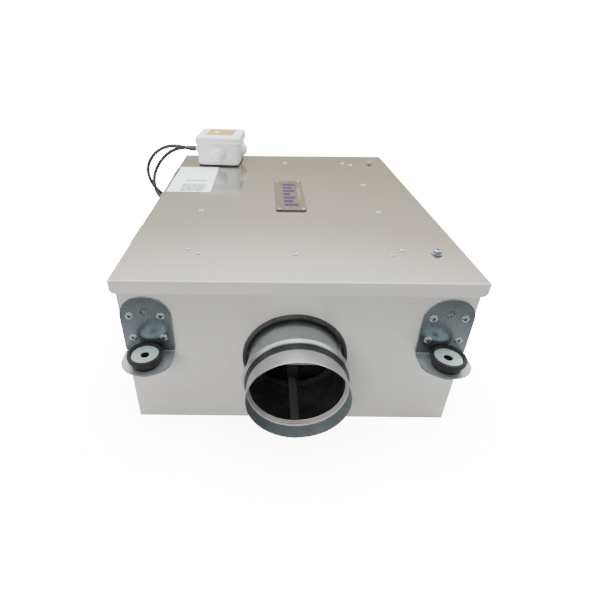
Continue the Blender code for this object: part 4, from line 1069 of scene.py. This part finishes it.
def make_hinge(word, y):
    """A butt hinge with rounded leaves, rolled knuckles, rivets and a pin with domed ends."""
    near, far = y - 0.030, y + 0.030
    along = (0, 1, 0)
    roll = mm([(3.2, 0.8), (3, 0.3), (1.8, 0.3), (1.8, 19.7), (3, 19.7), (3.2, 19.2)])
    (casing_x, bottom), (inner, top) = CASING_LEAF
    leaf = bmesh.new()
    block(leaf, (casing_x, near, bottom), (inner, far, top), 0.0004)
    for start in (near, far - THIRD):
        end = start + THIRD - PLAY
        block(leaf, (HINGE_X + 0.0024, start + PLAY, 0.2121), (-0.2250, end, 0.2133), 0.0002)
        lathe(leaf, roll, 28, aim((HINGE_X, start, HINGE_Z), along))
    settle(f"hinge_{word}_fixed", leaf, "casing", "hinge", (f"hinge_leaf_casing_{word}",))
    (lid_x, bottom), (inner, top) = LID_LEAF
    leaf = bmesh.new()
    start, end = near + THIRD, far - THIRD
    block(leaf, (lid_x, near, bottom), (inner, far, top), 0.0004)
    block(leaf, (lid_x, start + PLAY, HINGE_Z + 0.0018), (-0.2306, end - PLAY, 0.2192), 0.0002)
    lathe(leaf, roll, 28, aim((HINGE_X, start, HINGE_Z), along))
    settle(f"hinge_{word}_moving", leaf, "lid", "hinge", (f"hinge_leaf_lid_{word}",))
    pin = mm([(0, 62), (1, 61.8), (1.5, 61.2), (1.5, 0.8), (1, 0.2), (0, 0)])
    foot = (HINGE_X, near - 0.001, HINGE_Z)
    turned(f"hinge_{word}_pin", pin, 20, foot, along, "casing", "rivet", (f"hinge_pin_{word}",))
    for part, body, x, z in (("fixed", "casing", casing_x, 0.1995), ("moving", "lid", lid_x, 0.2285)):
        heads = [((x, y + dy, z), (-1, 0, 0)) for dy in (-0.020, 0, 0.020)]
        make_rivets(f"hinge_{word}_{part}_rivets", 0.0030, 0.0010, heads, body, sides=20)


def make_gland(letter, y):
    """A cable gland: a hexagon against the wall and a ribbed dome nut."""
    place = aim((-0.2243, y, 0.143), (-1, 0, 0))
    shape = bmesh.new()
    nut = mm([(0, 6.2), (8.6, 6.2), (9.5, 5.2), (9.5, 0.6), (9, 0), (7.4, 0), (7.4, -3), (0, -3)])
    lathe(shape, nut, 6, place)
    dome = mm([(3.3, 17.6), (5, 18), (6.2, 17.4), (7.2, 15.2), (7.8, 10), (7.9, 6.4), (3.3, 6.4)])
    lathe(shape, dome, 36, place)
    for rib in range(12):
        spin = place @ Matrix.Rotation(tau * rib / 12, 4, "Z")
        box_shape(shape, (0.0074, -0.0006, 0.0068), (0.0083, 0.0006, 0.0128), spin)
    settle(f"gland_{letter}_nuts", shape, "casing", "black", (f"cable_gland_{letter}",), 30)


for word, hinge_y in (("front", -0.150), ("rear", 0.150)):
    make_hinge(word, hinge_y)
for mark, gland_y in (("a", 0.238), ("b", 0.214)):
    make_gland(mark, gland_y)


# ---------------- linings and filters


def foam_block(node, body):
    """A foam slab in its CAD solid's place, its edges rounded as cut foam's are."""
    low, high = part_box(node)
    inset = 0.0002
    shape = bmesh.new()
    block(shape, [c + inset for c in low], [c - inset for c in high], 0.0016, 3)
    settle(f"{node}_slab", shape, body, "foam", (node,))


def foam_plate(node, loops, thickness, place, edge):
    """A flat foam or rubber pad with openings cut through it."""
    plated(f"{node}_pad", loops, thickness, place, edge, "casing", "foam", (node,))


def make_end_foam(side):
    low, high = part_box(f"{side}_end_foam")
    middle, size = (low + high) / 2, high - low
    clear = 0.0004
    loops = [round_rectangle(size.x - clear, size.z - clear, 0.001, 3),
             arc(0, DUCT_Z - middle.z, 0.0616, 0, 355, 71)]
    foam_plate(f"{side}_end_foam", loops, size.y - clear, at(0, middle.y, middle.z) @ UPRIGHT, 0.0014)


def make_lid_gasket():
    low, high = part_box("lid_gasket")
    loops = [round_rectangle(0.4398, 0.5518, 0.002, 3), round_rectangle(0.4202, 0.5322, 0.002, 3)]
    foam_plate("lid_gasket", loops, high.z - low.z - 0.0002, at(0, 0, (low.z + high.z) / 2), 0.0012)


def make_pleats(side):
    """The filter's web in rounded pleats."""
    node = f"{side}_filter_media"
    low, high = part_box(node)
    folds, steps, web = 22, 8, 0.0004
    middle = (low.y + high.y) / 2
    depth = (high.y - low.y) / 2 - 0.0006
    pitch = (high.x - low.x) / folds
    front, back = [], []
    for step in range(folds * steps + 1):
        t = step / steps
        wave = cos(tau * t)
        y = middle + depth * copysign(abs(wave) ** 0.6, wave)
        front.append((low.x + pitch * t, y - web))
        back.append((low.x + pitch * t, y + web))
    shape = bmesh.new()
    rows = [[shape.verts.new((x, y, z)) for x, y in front + back[::-1]] for z in (low.z, high.z)]
    skin(shape, rows, False)
    last = 2 * len(front) - 1
    for row in rows:
        for step in range(len(front) - 1):
            shape.faces.new([row[step], row[step + 1], row[last - 1 - step], row[last - step]])
    piece = settle(f"{side}_filter_pleats", shape, "casing", "web", (node,), 60)


for foam_node in ("floor_foam_left", "floor_foam_right", "side_foam_left", "side_foam_right"):
    foam_block(foam_node, "casing")
foam_block("lid_insulation", "lid")
for word in SIDES:
    make_end_foam(word)
make_lid_gasket()
for word in SIDES:
    make_pleats(word)


# ---------------- CAD nodes that stay


KEPT = {
    "casing": "casing_tray front_wall rear_wall",
    "rail": "floor_rail",
    "inner": "lid_inner_pan bulkhead_front bulkhead_rear fan_bulkhead core_housing",
    "card": "front_filter_frame rear_filter_frame",
    "ceramic": "ceramic_core",
    "black": "fan_housing fan_stator impeller",
    "rivet": "fan_shaft",
}
for look_word, names in KEPT.items():
    for node_name in names.split():
        node = NODES[node_name]
        node.data.materials.clear()
        node.data.materials.append(LOOK[look_word])
